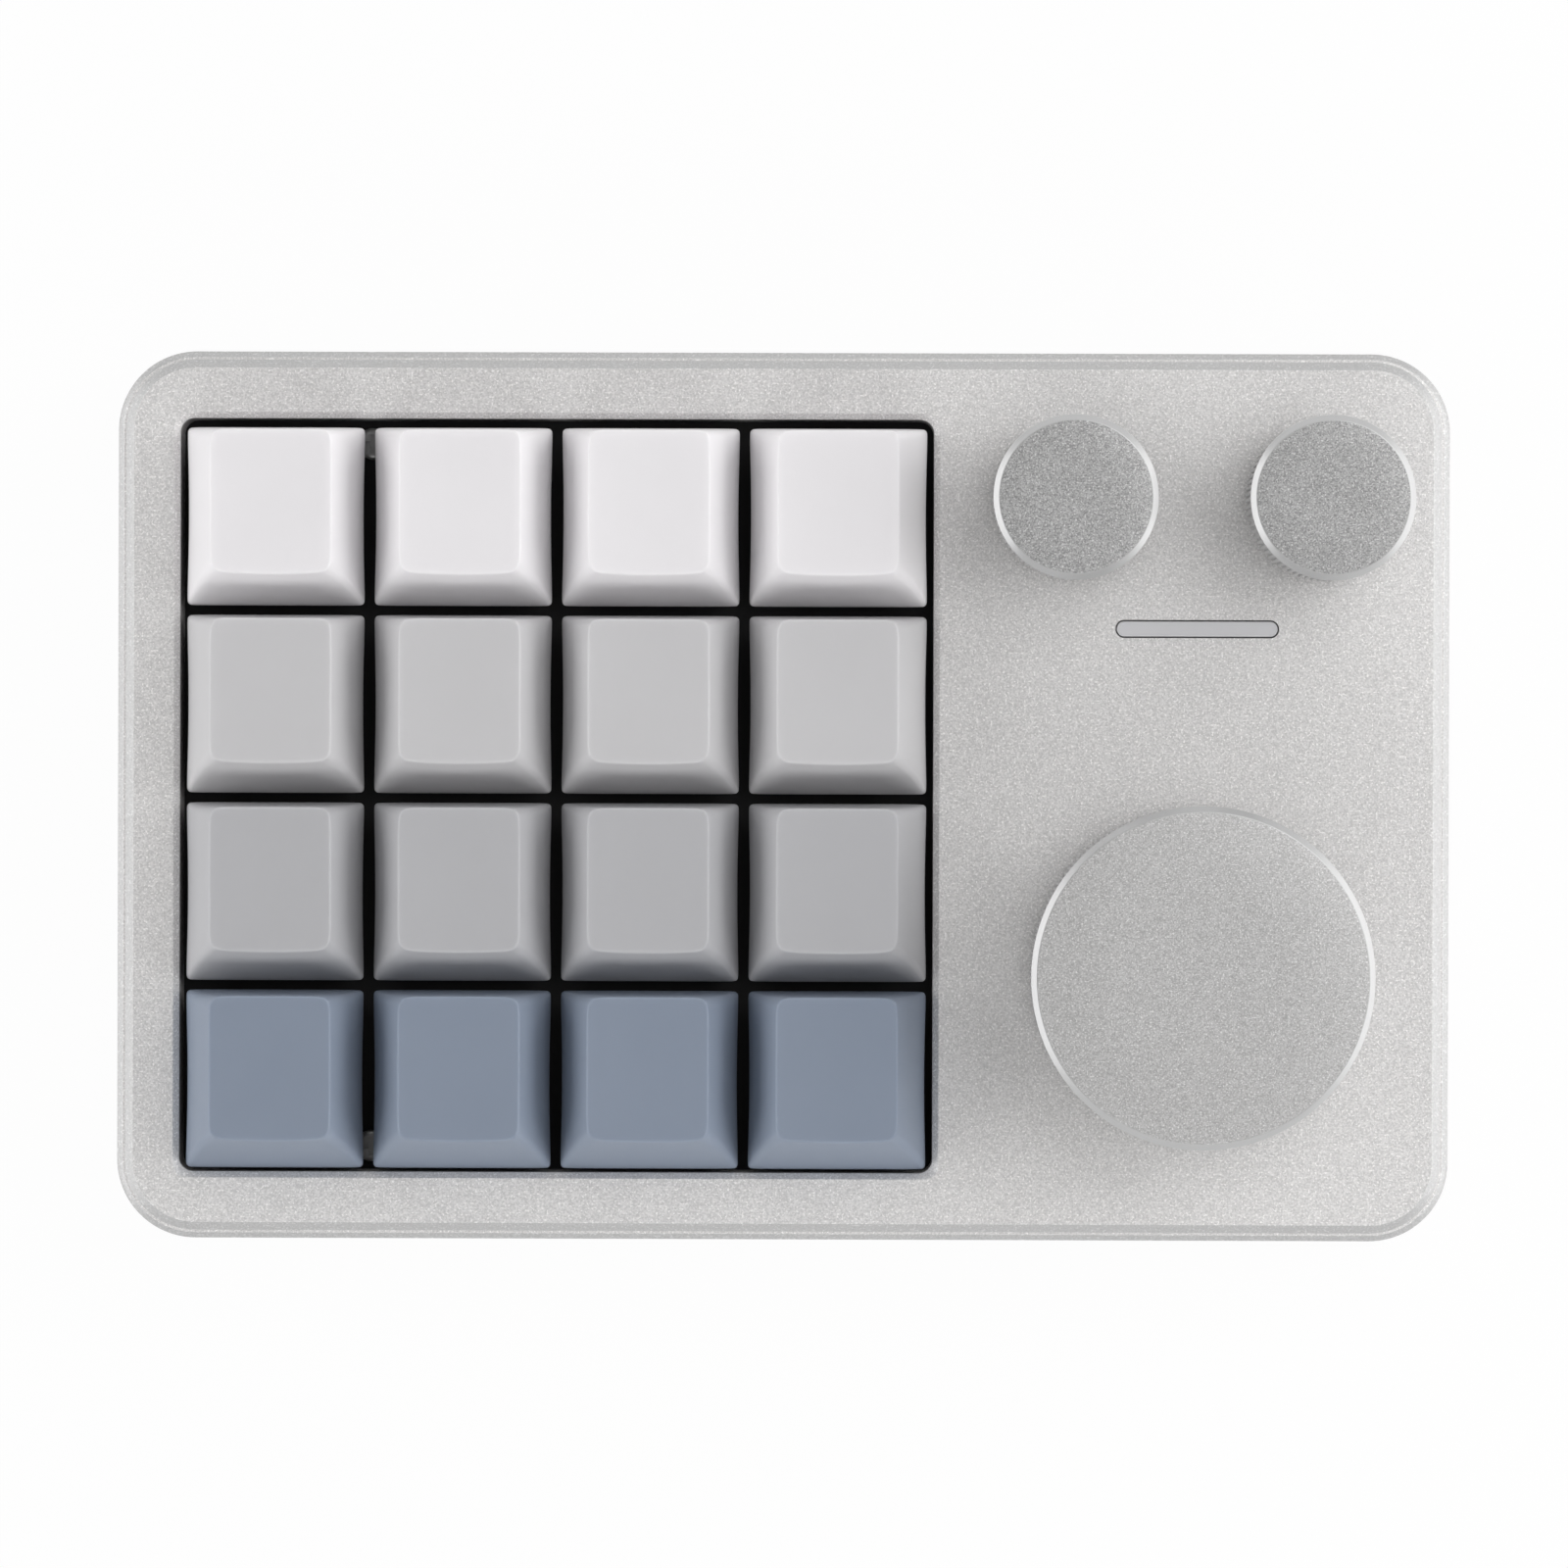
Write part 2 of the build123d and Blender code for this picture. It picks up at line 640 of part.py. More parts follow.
# %% Keycap: a tapered cap leaning back, with a scooped top and a cross socket on its post
keycap_post_z = housing_top_z
roof_underside_z = keycap_top_z - keycap_dish_depth - keycap_roof
roof_share = (roof_underside_z - keycap_z) / keycap_height
dish_radius = keycap_top_length**2 / 8 / keycap_dish_depth + keycap_dish_depth / 2
with BuildPart() as keycap:
    with BuildSketch(Plane.XY.offset(keycap_z)):
        RectangleRounded(keycap_skirt, keycap_skirt, keycap_skirt_radius)
    with BuildSketch(Plane.XY.offset(keycap_top_z)):
        with Locations((0, keycap_top_shift)):
            RectangleRounded(keycap_top_length, keycap_top_width, keycap_top_radius)
    loft()

    with BuildSketch(Plane.XY.offset(keycap_z)):
        Rectangle(keycap_skirt - 2 * keycap_wall, keycap_skirt - 2 * keycap_wall)
    with BuildSketch(Plane.XY.offset(roof_underside_z)):
        with Locations((0, keycap_top_shift * roof_share)):
            Rectangle(
                keycap_skirt + (keycap_top_length - keycap_skirt) * roof_share - 2 * keycap_wall,
                keycap_skirt + (keycap_top_width - keycap_skirt) * roof_share - 2 * keycap_wall,
            )
    loft(mode=Mode.SUBTRACT)

    with BuildSketch(Plane.XZ.offset(-keycap_skirt)):
        with Locations((0, keycap_top_z - keycap_dish_depth + dish_radius)):
            Circle(dish_radius)
    extrude(amount=2 * keycap_skirt, mode=Mode.SUBTRACT)

    with BuildSketch(Plane.XY.offset(keycap_post_z)):
        Circle(keycap_post_diameter / 2)
    extrude(until=Until.NEXT)
    with BuildSketch(Plane.XY.offset(keycap_post_z)):
        Rectangle(cross_span + 2 * cross_clearance, cross_arm_along + 2 * cross_clearance)
        Rectangle(cross_arm_across + 2 * cross_clearance, cross_span + 2 * cross_clearance)
    extrude(amount=cross_socket_depth, mode=Mode.SUBTRACT)

for key_name, key_x, key_y in key_centres:
    save(Pos(key_x, key_y, 0) * keycap.part, f"keycap_{key_name}")
    save(Pos(key_x, key_y, 0) * stem.part, f"stem_{key_name}")

# %% Encoder bases and bushings
base_top_z = board_top_z + encoder_base_height
cover_top_z = base_top_z + encoder_cover_thickness
bushing_top_z = cover_top_z + bushing_length
drum_floor_z = board_top_z + encoder_base_floor
with BuildPart() as encoder_bases:
    with BuildSketch(Plane.XY.offset(board_top_z)):
        with Locations(*knob_spots):
            Rectangle(encoder_length, encoder_width)
    extrude(amount=encoder_base_height)
    with BuildSketch(Plane.XY.offset(drum_floor_z)):
        with Locations(*knob_spots):
            Circle(encoder_drum_radius)
    extrude(amount=base_top_z - drum_floor_z, mode=Mode.SUBTRACT)
save(encoder_bases.part, "encoder_bases")

with BuildPart() as encoder_bushings:
    with BuildSketch(Plane.XY.offset(base_top_z)):
        with Locations(*knob_spots):
            Rectangle(encoder_length + 2 * encoder_lug_thickness, encoder_width)
    extrude(amount=encoder_cover_thickness)
    with BuildSketch(Plane.XY.offset(board_top_z)):
        with Locations(*knob_spots):
            with GridLocations(encoder_length + encoder_lug_thickness, 1, 2, 1):
                Rectangle(encoder_lug_thickness, encoder_lug_width)
    extrude(amount=encoder_base_height)
    with BuildSketch(Plane.XY.offset(cover_top_z)):
        with Locations(*knob_spots):
            Circle(bushing_radius)
    extrude(amount=bushing_length)
    with Locations(*facing_up(knob_spots, bushing_top_z)):
        Hole(shaft_radius + shaft_clearance, depth=bushing_top_z - base_top_z)
save(encoder_bushings.part, "encoder_bushings")

# %% Encoder rotor: turns with the shaft, which slides through its two-flat bore
rotor_top_z = base_top_z - rotor_clearance
with BuildPart() as encoder_rotor:
    with BuildSketch(Plane.XY.offset(rotor_top_z)):
        Circle(rotor_radius)
    extrude(amount=-rotor_thickness)
    with BuildSketch(Plane.XY.offset(drum_floor_z + rotor_clearance)):
        Circle(rotor_hub_radius)
    extrude(amount=rotor_top_z - drum_floor_z - rotor_clearance)
    with BuildSketch(Plane.XY.offset(drum_floor_z)):
        Circle(shaft_key_radius + shaft_clearance)
        Rectangle(
            2 * (shaft_key_half_flat + shaft_clearance), 4 * shaft_key_radius, mode=Mode.INTERSECT
        )
    extrude(amount=base_top_z - drum_floor_z, mode=Mode.SUBTRACT)

# %% Encoder shaft: keyed end in the rotor, round in the bushing, flat under the knob's grub screw
shaft_end_z = drum_floor_z + shaft_end_gap + push_travel
shaft_round_z = rotor_top_z + shaft_shoulder_gap + push_travel
shaft_tip_z = cover_top_z + shaft_length
with BuildPart() as encoder_shaft:
    with BuildSketch(Plane.XY.offset(shaft_end_z)):
        Circle(shaft_key_radius)
        Rectangle(2 * shaft_key_half_flat, 4 * shaft_key_radius, mode=Mode.INTERSECT)
    extrude(amount=shaft_round_z - shaft_end_z)
    with BuildSketch(Plane.XY.offset(shaft_round_z)):
        Circle(shaft_radius)
    extrude(amount=shaft_tip_z - shaft_round_z)
    with BuildSketch(Plane.XY.offset(shaft_tip_z)):
        with Locations((shaft_flat_offset, 0)):
            Rectangle(shaft_radius, 2 * shaft_radius, align=(Align.MIN, Align.CENTER))
    extrude(amount=-shaft_flat_length, mode=Mode.SUBTRACT)

# %% Grub screw: headless, in the knob's hub, bearing on the shaft's flat
grub_z = knob_z + grub_height
grub_plane = Plane(origin=(shaft_flat_offset, 0, grub_z), x_dir=(0, 1, 0), z_dir=(1, 0, 0))
with BuildPart() as grub_screw:
    with BuildSketch(grub_plane):
        Circle(grub_radius)
    extrude(amount=grub_length)
    with BuildSketch(grub_plane.offset(grub_length)):
        RegularPolygon(grub_socket / 2, 6, major_radius=False)
    extrude(amount=-grub_socket_depth, mode=Mode.SUBTRACT)


# %% Knob: turned cap with a chamfered top, a shadow groove and a stepped-in grip
def knob_solid(radius, hollow):
    """One knob on the Z axis; a hollow one has a ring cut out around its hub."""
    grip = radius - knob_grip_step
    groove_top_z = knob_top_z - knob_chamfer - knob_collar
    with BuildPart() as knob:
        with BuildSketch(Plane.XY.offset(knob_z)):
            Circle(grip)
        extrude(amount=groove_top_z - knob_groove_width - knob_z)
        chamfer(knob.faces().sort_by(Axis.Z)[0].edges(), knob_foot_chamfer)
        with BuildSketch(Plane.XY.offset(groove_top_z - knob_groove_width)):
            Circle(radius - knob_groove_depth)
        extrude(amount=knob_groove_width)
        with BuildSketch(Plane.XY.offset(groove_top_z)):
            Circle(radius)
        extrude(amount=knob_chamfer + knob_collar)
        chamfer(knob.faces().sort_by(Axis.Z)[-1].edges(), knob_chamfer)

        with BuildSketch(Plane.XY.offset(knob_z)):
            Circle(grip - large_knob_wall if hollow else knob_recess_radius)
        extrude(amount=knob_recess_depth, mode=Mode.SUBTRACT)
        if hollow:
            with BuildSketch(Plane.XY.offset(knob_z)):
                Circle(grip - large_knob_wall)
                Circle(large_knob_hub_radius, mode=Mode.SUBTRACT)
            extrude(amount=knob_height - large_knob_roof, mode=Mode.SUBTRACT)
        with BuildSketch(Plane.XY.offset(knob_z)):
            Circle(shaft_radius + shaft_clearance)
            with Locations((shaft_flat_offset + shaft_clearance, 0)):
                Rectangle(shaft_radius, 3 * shaft_radius, align=(Align.MIN, Align.CENTER), mode=Mode.SUBTRACT)
        extrude(amount=shaft_tip_z + shaft_tip_gap - knob_z, mode=Mode.SUBTRACT)
        with BuildSketch(grub_plane):
            Circle(grub_radius + grub_clearance)
        extrude(amount=radius, mode=Mode.SUBTRACT)
    return knob.part


small_knob = knob_solid(small_knob_radius, hollow=False)
large_knob = knob_solid(large_knob_radius, hollow=True)
for knob_name, x, y, radius in knobs:
    save(Pos(x, y, 0) * (large_knob if radius == large_knob_radius else small_knob), f"knob_{knob_name}")
    save(Pos(x, y, 0) * encoder_shaft.part, f"encoder_shaft_{knob_name}")
    save(Pos(x, y, 0) * encoder_rotor.part, f"encoder_rotor_{knob_name}")
    save(Pos(x, y, 0) * grub_screw.part, f"grub_screw_{knob_name}")
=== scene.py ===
# %% [markdown]
# # A macro keypad with push-and-turn knobs
#
# This lesson dresses a finished mechanical model. The keypad's pieces, their sizes and their joints
# already exist, so each new piece reads its place and its outer size from the piece that it stands
# for, and only the details are given here as named lengths. Blender's own edit-mode tools then give
# it the soft edges, the scooped tops, the ribs and the finishes of something made in a factory.

# %% Load the mechanical model
import math

import bmesh
import bpy
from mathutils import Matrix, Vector


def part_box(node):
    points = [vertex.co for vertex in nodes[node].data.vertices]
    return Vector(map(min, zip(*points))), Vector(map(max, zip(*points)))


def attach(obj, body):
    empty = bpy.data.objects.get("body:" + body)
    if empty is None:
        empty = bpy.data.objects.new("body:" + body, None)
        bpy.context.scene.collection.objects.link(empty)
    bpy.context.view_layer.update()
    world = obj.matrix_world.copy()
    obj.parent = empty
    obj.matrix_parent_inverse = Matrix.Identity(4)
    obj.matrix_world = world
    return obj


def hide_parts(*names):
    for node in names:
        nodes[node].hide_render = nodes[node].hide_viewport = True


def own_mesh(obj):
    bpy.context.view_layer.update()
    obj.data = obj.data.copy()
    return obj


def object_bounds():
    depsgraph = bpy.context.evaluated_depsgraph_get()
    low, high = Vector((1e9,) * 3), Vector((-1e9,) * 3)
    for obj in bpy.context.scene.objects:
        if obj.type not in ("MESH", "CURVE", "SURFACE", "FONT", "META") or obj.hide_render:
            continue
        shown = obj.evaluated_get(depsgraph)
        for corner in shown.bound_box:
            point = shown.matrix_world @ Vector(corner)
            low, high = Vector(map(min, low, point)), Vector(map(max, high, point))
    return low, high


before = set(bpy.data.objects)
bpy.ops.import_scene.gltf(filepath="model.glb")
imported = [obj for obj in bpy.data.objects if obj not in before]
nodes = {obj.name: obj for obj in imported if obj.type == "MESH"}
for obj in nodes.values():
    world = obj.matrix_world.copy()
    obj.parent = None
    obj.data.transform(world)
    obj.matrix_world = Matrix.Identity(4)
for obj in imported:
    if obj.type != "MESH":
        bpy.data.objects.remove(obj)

MM = 0.001
cad_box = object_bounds()
size_mm = [round((high - low) / MM, 1) for low, high in zip(*cad_box)]
print("loaded", len(nodes), "nodes; the whole keypad measures", size_mm, "mm")

# %% [markdown]
# ## Small helpers for working by hand in code
#
# In the window you click on a face and press a key. A script has no clicks, so it needs another way
# to say which faces it means. The helpers below enter edit mode with nothing selected, and select
# by a test on place or direction, such as "every face that looks up". After that the ordinary
# operators do the work: inset, extrude, bevel, bisect and resize.


# %% Helpers: objects and selection
def only(piece):
    """Select one object and nothing else."""
    if bpy.context.object and bpy.context.object.mode != "OBJECT":
        bpy.ops.object.mode_set(mode="OBJECT")
    bpy.ops.object.select_all(action="DESELECT")
    piece.select_set(True)
    bpy.context.view_layer.objects.active = piece


def edit(piece):
    """Open one object in edit mode with nothing selected."""
    only(piece)
    bpy.ops.object.mode_set(mode="EDIT")
    bpy.ops.mesh.select_all(action="DESELECT")


def done():
    """Leave edit mode."""
    bpy.ops.object.mode_set(mode="OBJECT")


def pick(kind, test):
    """In edit mode, select exactly the faces, edges or vertices that pass a test."""
    bpy.ops.mesh.select_all(action="DESELECT")
    bpy.ops.mesh.select_mode(type=kind)
    mesh = bmesh.from_edit_mesh(bpy.context.edit_object.data)
    for item in {"FACE": mesh.faces, "EDGE": mesh.edges, "VERT": mesh.verts}[kind]:
        if test(item):
            item.select_set(True)
    mesh.select_flush_mode()
    bmesh.update_edit_mesh(bpy.context.edit_object.data)


def near(value, target, slack=0.01 * MM):
    """True where two lengths agree."""
    return abs(value - target) < slack


def looks(face, direction):
    """True for a face that points along a direction."""
    return face.normal.dot(Vector(direction)) > 0.99


print("helpers ready: only, edit, done, pick, near, looks")


# %% Helpers: finishing a piece
def apply_modifiers(piece):
    """Make every modifier on a piece final."""
    only(piece)
    for name in [modifier.name for modifier in piece.modifiers]:
        bpy.ops.object.modifier_apply(modifier=name)


def apply_place(piece):
    """Put a piece's place, turn and size into its mesh, so that its object sits at the origin."""
    only(piece)
    bpy.ops.object.transform_apply(location=True, rotation=True, scale=True)


def cut(piece, tool):
    """Cut one closed shape out of another and throw the cutter away."""
    modifier = piece.modifiers.new("cut", "BOOLEAN")
    modifier.operation = "DIFFERENCE"
    modifier.solver = "EXACT"
    modifier.object = tool
    apply_modifiers(piece)
    bpy.data.objects.remove(tool)


def soften(piece, width, segments=2, angle=30):
    """Round every sharp edge a little, as a tool, a mould or a tumbler does."""
    modifier = piece.modifiers.new("soften", "BEVEL")
    modifier.width = width
    modifier.segments = segments
    modifier.limit_method = "ANGLE"
    modifier.angle_limit = math.radians(angle)
    modifier.use_clamp_overlap = False
    apply_modifiers(piece)


def smooth(piece, angle=30):
    """Shade gentle bends as curves and keep sharper ones crisp."""
    only(piece)
    bpy.ops.object.shade_smooth_by_angle(angle=math.radians(angle))


def keep_flats(piece):
    """Let large faces stay flat and give the small round edges all of the bend."""
    modifier = piece.modifiers.new("flats", "WEIGHTED_NORMAL")
    modifier.mode = "FACE_AREA"
    modifier.weight = 100
    modifier.keep_sharp = True
    apply_modifiers(piece)


def face_out(piece):
    """Merge doubled points and turn every face outwards."""
    edit(piece)
    bpy.ops.mesh.select_all(action="SELECT")
    bpy.ops.mesh.remove_doubles(threshold=0.002 * MM)
    bpy.ops.mesh.normals_make_consistent(inside=False)
    done()


def stand_for(piece, body, slot, *replaced):
    """Let a piece ride on a body and stand for some nodes, which are hidden. The slot is not used."""
    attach(piece, body)
    if replaced:
        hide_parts(*replaced)
    return piece


print("helpers ready: cut, soften, smooth, keep_flats, face_out, stand_for")


# %% Helpers: rounded plates
def rounded_block(name, low, high, radius, steps=16):
    """A block with round upright corners: a plane whose corners are beveled, then extruded."""
    centre = ((low[0] + high[0]) / 2, (low[1] + high[1]) / 2, low[2])
    bpy.ops.mesh.primitive_plane_add(size=1, location=centre)
    block = bpy.context.object
    block.name = block.data.name = name
    block.scale = (high[0] - low[0], high[1] - low[1], 1)
    apply_place(block)
    edit(block)
    bpy.ops.mesh.select_all(action="SELECT")
    bpy.ops.mesh.bevel(offset=radius, segments=steps, affect="VERTICES")
    bpy.ops.mesh.select_all(action="SELECT")
    bpy.ops.mesh.extrude_region_move(TRANSFORM_OT_translate={"value": (0, 0, high[2] - low[2])})
    bpy.ops.mesh.select_all(action="SELECT")
    bpy.ops.mesh.normals_make_consistent(inside=False)
    done()
    return block


def rod(name, centre, radius, low, high, sides=96):
    """A round bar standing on end."""
    bpy.ops.mesh.primitive_cylinder_add(
        vertices=sides, radius=radius, depth=high - low, location=(centre[0], centre[1], (low + high) / 2)
    )
    bar = bpy.context.object
    bar.name = bar.data.name = name
    apply_place(bar)
    return bar


print("helpers ready: rounded_block, rod")

# %% [markdown]
# ## Writing a material as a sum
#
# A node material is a little calculation: this noise times that strength, plus a grey. Wired by hand
# it becomes a web that is hard to read. The small `Number` class wraps a socket so that `+` and `*`
# add the matching Math nodes, and `0.25 + 0.12 * rings` reads the way it is meant. The `Finish`
# class holds one material and has one method for every other node.


# %% Material language
class Number:
    """A value socket on which sums can be written."""

    def __init__(self, finish, socket):
        self.finish = finish
        self.socket = socket

    def sum(self, operation, first, second):
        return self.finish.node("ShaderNodeMath", {0: first, 1: second}, operation=operation)

    def __add__(self, other):
        return self.sum("ADD", self, other)

    def __radd__(self, other):
        return self.sum("ADD", other, self)

    def __mul__(self, other):
        return self.sum("MULTIPLY", self, other)

    def __rmul__(self, other):
        return self.sum("MULTIPLY", other, self)


class Finish:
    """One material: a shader, and the nodes that feed it."""

    def __init__(self, name, **constants):
        self.material = bpy.data.materials.new(name)
        self.material.use_nodes = True
        self.tree = self.material.node_tree
        self.shader = self.tree.nodes["Principled BSDF"]
        self.place = self.node("ShaderNodeTexCoord", output="Object")
        for socket, value in constants.items():
            self.set(socket.replace("_", " ").title().replace("Ior", "IOR"), value)

    def node(self, kind, values=None, output=0, stops=None, **settings):
        """Add any node: its settings first, then its sockets' values or links."""
        made = self.tree.nodes.new(kind)
        for setting, value in settings.items():
            setattr(made, setting, value)
        if stops:
            ramp = made.color_ramp
            while len(ramp.elements) < len(stops):
                ramp.elements.new(0.5)
            for element, (position, value) in zip(ramp.elements, stops):
                element.position = position
                element.color = (value, value, value, 1)
        for key, value in (values or {}).items():
            self.feed(made.inputs[key], value)
        return Number(self, made.outputs[output])

    def feed(self, socket, value):
        if isinstance(value, Number):
            self.tree.links.new(value.socket, socket)
        else:
            socket.default_value = value

    def set(self, socket, value):
        """Set or link one of the shader's own sockets."""
        self.feed(self.shader.inputs[socket], value)

    def grain(self, per_mm, detail=2.0, roughness=0.5):
        """Noise with about so many grains in a millimetre."""
        return self.node(
            "ShaderNodeTexNoise",
            {"Vector": self.place, "Scale": per_mm / MM, "Detail": detail, "Roughness": roughness},
        )

    def ramp(self, value, *stops):
        """Spread a narrow band of values over black to white."""
        return self.node("ShaderNodeValToRGB", {"Fac": value}, stops=stops)

    def blend(self, factor, first, second):
        """Mix two colours."""
        return self.node("ShaderNodeMix", {0: factor, 6: first, 7: second}, output=2, data_type="RGBA")

    def bump(self, height, distance):
        """Raise the surface by a height map that is distance metres tall."""
        values = {"Height": height, "Distance": distance, "Strength": 1.0}
        self.set("Normal", self.node("ShaderNodeBump", values))


def grey(value, warmth=0.0):
    """A linear grey, a little warmer or cooler."""
    return (value * (1 + warmth), value, value * (1 - warmth / 2), 1)


print("material language ready")

# %% [markdown]
# ## Bead-blasted aluminium
#
# The case and the tops of the knobs are machined, blasted with tiny glass beads and anodised. Up
# close such metal isn't smooth grey: every dent is a small mirror that faces its own way, so it
# sparkles. One noise would give clouds, not sparkle. Here a fine noise makes the dents as a bump,
# a second one paints that sparkle into the colour as light and dark specks, a third paints rare
# brighter specks as painted glints, and the roughness follows the specks.


# %% Finishes: metals
def blasted_metal(name, colour, per_mm, painted_sparkle, dent, roughness, metallic=0.4, warmth=0.004):
    """Bead-blasted, anodised aluminium, with its sparkle painted into the colour as specks and glints."""
    finish = Finish(name, metallic=metallic)
    dents = finish.grain(per_mm, detail=2.0, roughness=0.6)
    # Painted sparkle: light and dark specks in the colour stand for the dents' reflections.
    painted_sparkle_specks = finish.ramp(finish.grain(per_mm * 1.15, detail=1.0), (0.32, 0.0), (0.68, 1.0))
    # Painted glints: rare specks much brighter than the metal itself.
    painted_glint_mask = finish.ramp(finish.grain(per_mm * 0.9, detail=0.0), (0.66, 0.0), (0.74, 1.0))
    cloud = finish.grain(0.05, detail=2.0)
    dark = grey(colour * (1 - painted_sparkle), warmth)
    bright = grey(colour * (1 + painted_sparkle), warmth)
    painted_glint_grey = grey(min(0.95, colour * (1 + 2.4 * painted_sparkle)), warmth)
    finish.set("Base Color", finish.blend(painted_glint_mask, finish.blend(painted_sparkle_specks, dark, bright), painted_glint_grey))
    finish.set("Roughness", roughness + 0.08 * painted_sparkle_specks + 0.05 * cloud)
    finish.bump(dents, dent * MM)
    return finish.material


def cut_metal(name, colour, roughness, metallic=0.6):
    """A diamond-cut chamfer: bright, with the faint lines of the tool."""
    finish = Finish(name, metallic=metallic)
    lines = finish.grain(7.0, detail=2.0)
    finish.set("Base Color", finish.blend(lines, grey(colour * 0.97), grey(colour * 1.03)))
    finish.set("Roughness", roughness + 0.08 * lines)
    finish.bump(lines, 0.004 * MM)
    return finish.material


case_grains = 4.6
knob_grains = 6.0
case_metal = blasted_metal(
    "case_metal", 0.705, case_grains, painted_sparkle=0.15, dent=0.034, roughness=0.45, metallic=0.3, warmth=0.016
)
# A darker copy of the case metal for the chamfers: painted shade on the sloping faces.
painted_shade_chamfer_metal = blasted_metal(
    "painted_shade_chamfer_metal", 0.52, case_grains, painted_sparkle=0.10, dent=0.012, roughness=0.40, metallic=0.5
)
small_knob_metal = blasted_metal(
    "small_knob_metal", 0.38, knob_grains, painted_sparkle=0.32, dent=0.02, roughness=0.42
)
large_knob_metal = blasted_metal(
    "large_knob_metal", 0.49, knob_grains, painted_sparkle=0.21, dent=0.02, roughness=0.42, warmth=0.010
)
knob_edge_metal = cut_metal("knob_edge_metal", 0.57, roughness=0.32, metallic=0.65)
knob_grip_metal = cut_metal("knob_grip_metal", 0.50, roughness=0.30)
print("metals:", case_metal.name, painted_shade_chamfer_metal.name, small_knob_metal.name, large_knob_metal.name)

# %% [markdown]
# ## Moulded plastic
#
# A keycap's mould is lightly eroded by sparks, which leaves a satin skin. It is almost even, so a
# careless material makes it look like paper. Two very weak noises, one fine and one broad, vary
# the colour and the shine just enough for the eye to read plastic. Light also soaks a millimetre
# into the plastic and comes out beside the place where it went in, which softens every shadow.


# %% Finishes: plastics, rubber and the hidden parts
def moulded_plastic(name, colour, roughness=0.42, texture_per_mm=6.0, depth=0.006, glow=0.0):
    """Satin moulded plastic in one colour; glow is how much light soaks in under its skin."""
    finish = Finish(name, subsurface_weight=glow, subsurface_radius=(1, 1, 1), subsurface_scale=1.2 * MM)
    fine = finish.grain(texture_per_mm, detail=2.0)
    broad = finish.grain(0.12, detail=2.0)
    darker = tuple(channel * 0.97 for channel in colour[:3]) + (1,)
    finish.set("Base Color", finish.blend(broad, darker, colour))
    finish.set("Roughness", roughness + 0.10 * fine + 0.05 * broad)
    finish.bump(fine, depth * MM)
    return finish.material


row_plastics = {
    "r1": moulded_plastic("keycap_white_plastic", (0.79, 0.775, 0.79, 1), glow=0.6),
    "r2": moulded_plastic("keycap_light_grey_plastic", (0.555, 0.55, 0.56, 1), glow=0.6),
    "r3": moulded_plastic("keycap_grey_plastic", (0.45, 0.45, 0.465, 1), glow=0.6),
    "r4": moulded_plastic("keycap_blue_grey_plastic", (0.235, 0.275, 0.345, 1), glow=0.6),
}
black_plastic = moulded_plastic("housing_plastic", (0.012, 0.012, 0.013, 1), roughness=0.38)
slider_plastic = moulded_plastic("slider_plastic", (0.10, 0.10, 0.11, 1), roughness=0.32)
chip_plastic = moulded_plastic("chip_plastic", (0.015, 0.015, 0.016, 1), roughness=0.5, depth=0.01)
track_plastic = moulded_plastic("track_plastic", (0.25, 0.25, 0.24, 1), roughness=0.45)
foot_rubber = moulded_plastic("foot_rubber", (0.022, 0.022, 0.022, 1), roughness=0.72, depth=0.012)
plate_paint = moulded_plastic("plate_paint", (0.010, 0.010, 0.011, 1), roughness=0.5, texture_per_mm=3.0)
board_mask = moulded_plastic("board_mask", (0.010, 0.012, 0.011, 1), roughness=0.3, texture_per_mm=1.5)
lens_plastic = moulded_plastic("lens_plastic", (0.62, 0.62, 0.635, 1), roughness=0.30, depth=0.003)
steel = cut_metal("plated_steel", 0.55, roughness=0.28)
dark_steel = cut_metal("blackened_steel", 0.06, roughness=0.35)
print("plastics and small metals ready:", len(bpy.data.materials), "materials")


# %% Finishes: brass
def turned_brass(name):
    """Brass bar with faint turning rings."""
    finish = Finish(name, metallic=1.0)
    rings = finish.grain(5.0, detail=2.0)
    finish.set("Base Color", finish.blend(rings, (0.60, 0.42, 0.17, 1), (0.72, 0.53, 0.24, 1)))
    finish.set("Roughness", 0.25 + 0.12 * rings)
    return finish.material


brass = turned_brass("turned_brass")
print("made", brass.name)


# %% Dressing: one helper for faces and one for whole pieces
def dress(piece, *materials):
    """Give a piece its material slots, the first one for every face."""
    piece.data.materials.clear()
    for material in materials:
        piece.data.materials.append(material)
    for face in piece.data.polygons:
        face.material_index = 0


def dress_faces(piece, index, test):
    """Give the faces that pass a test another of the piece's materials."""
    count = 0
    for face in piece.data.polygons:
        if test(face.center, face.normal):
            face.material_index = index
            count += 1
    print("  ", piece.name, "has", count, "faces of", piece.data.materials[index].name)


print("helpers ready: dress, dress_faces")

# %% [markdown]
# ## The case
#
# The case is one machined block. Its rim is cut twice: a first chamfer, a narrow flat ledge, a short
# riser, and a second chamfer up to the panel. An inset with a depth is exactly a chamfer, because
# it moves the outline in and up by even amounts, round the corners as well. So the rim is
# built the way it is milled, one inset after the other, and the key well and the holes are cut out
# afterwards with closed cutters.

# %% Case: block and stepped rim
case_low, case_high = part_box("top_case")
rim_chamfer = 0.60 * MM
rim_ledge = 0.25 * MM
rim_riser = 0.15 * MM
rim_top_chamfer = 0.85 * MM
case_corner = 8.0 * MM
rim_z = case_high.z - rim_top_chamfer - rim_riser - rim_chamfer

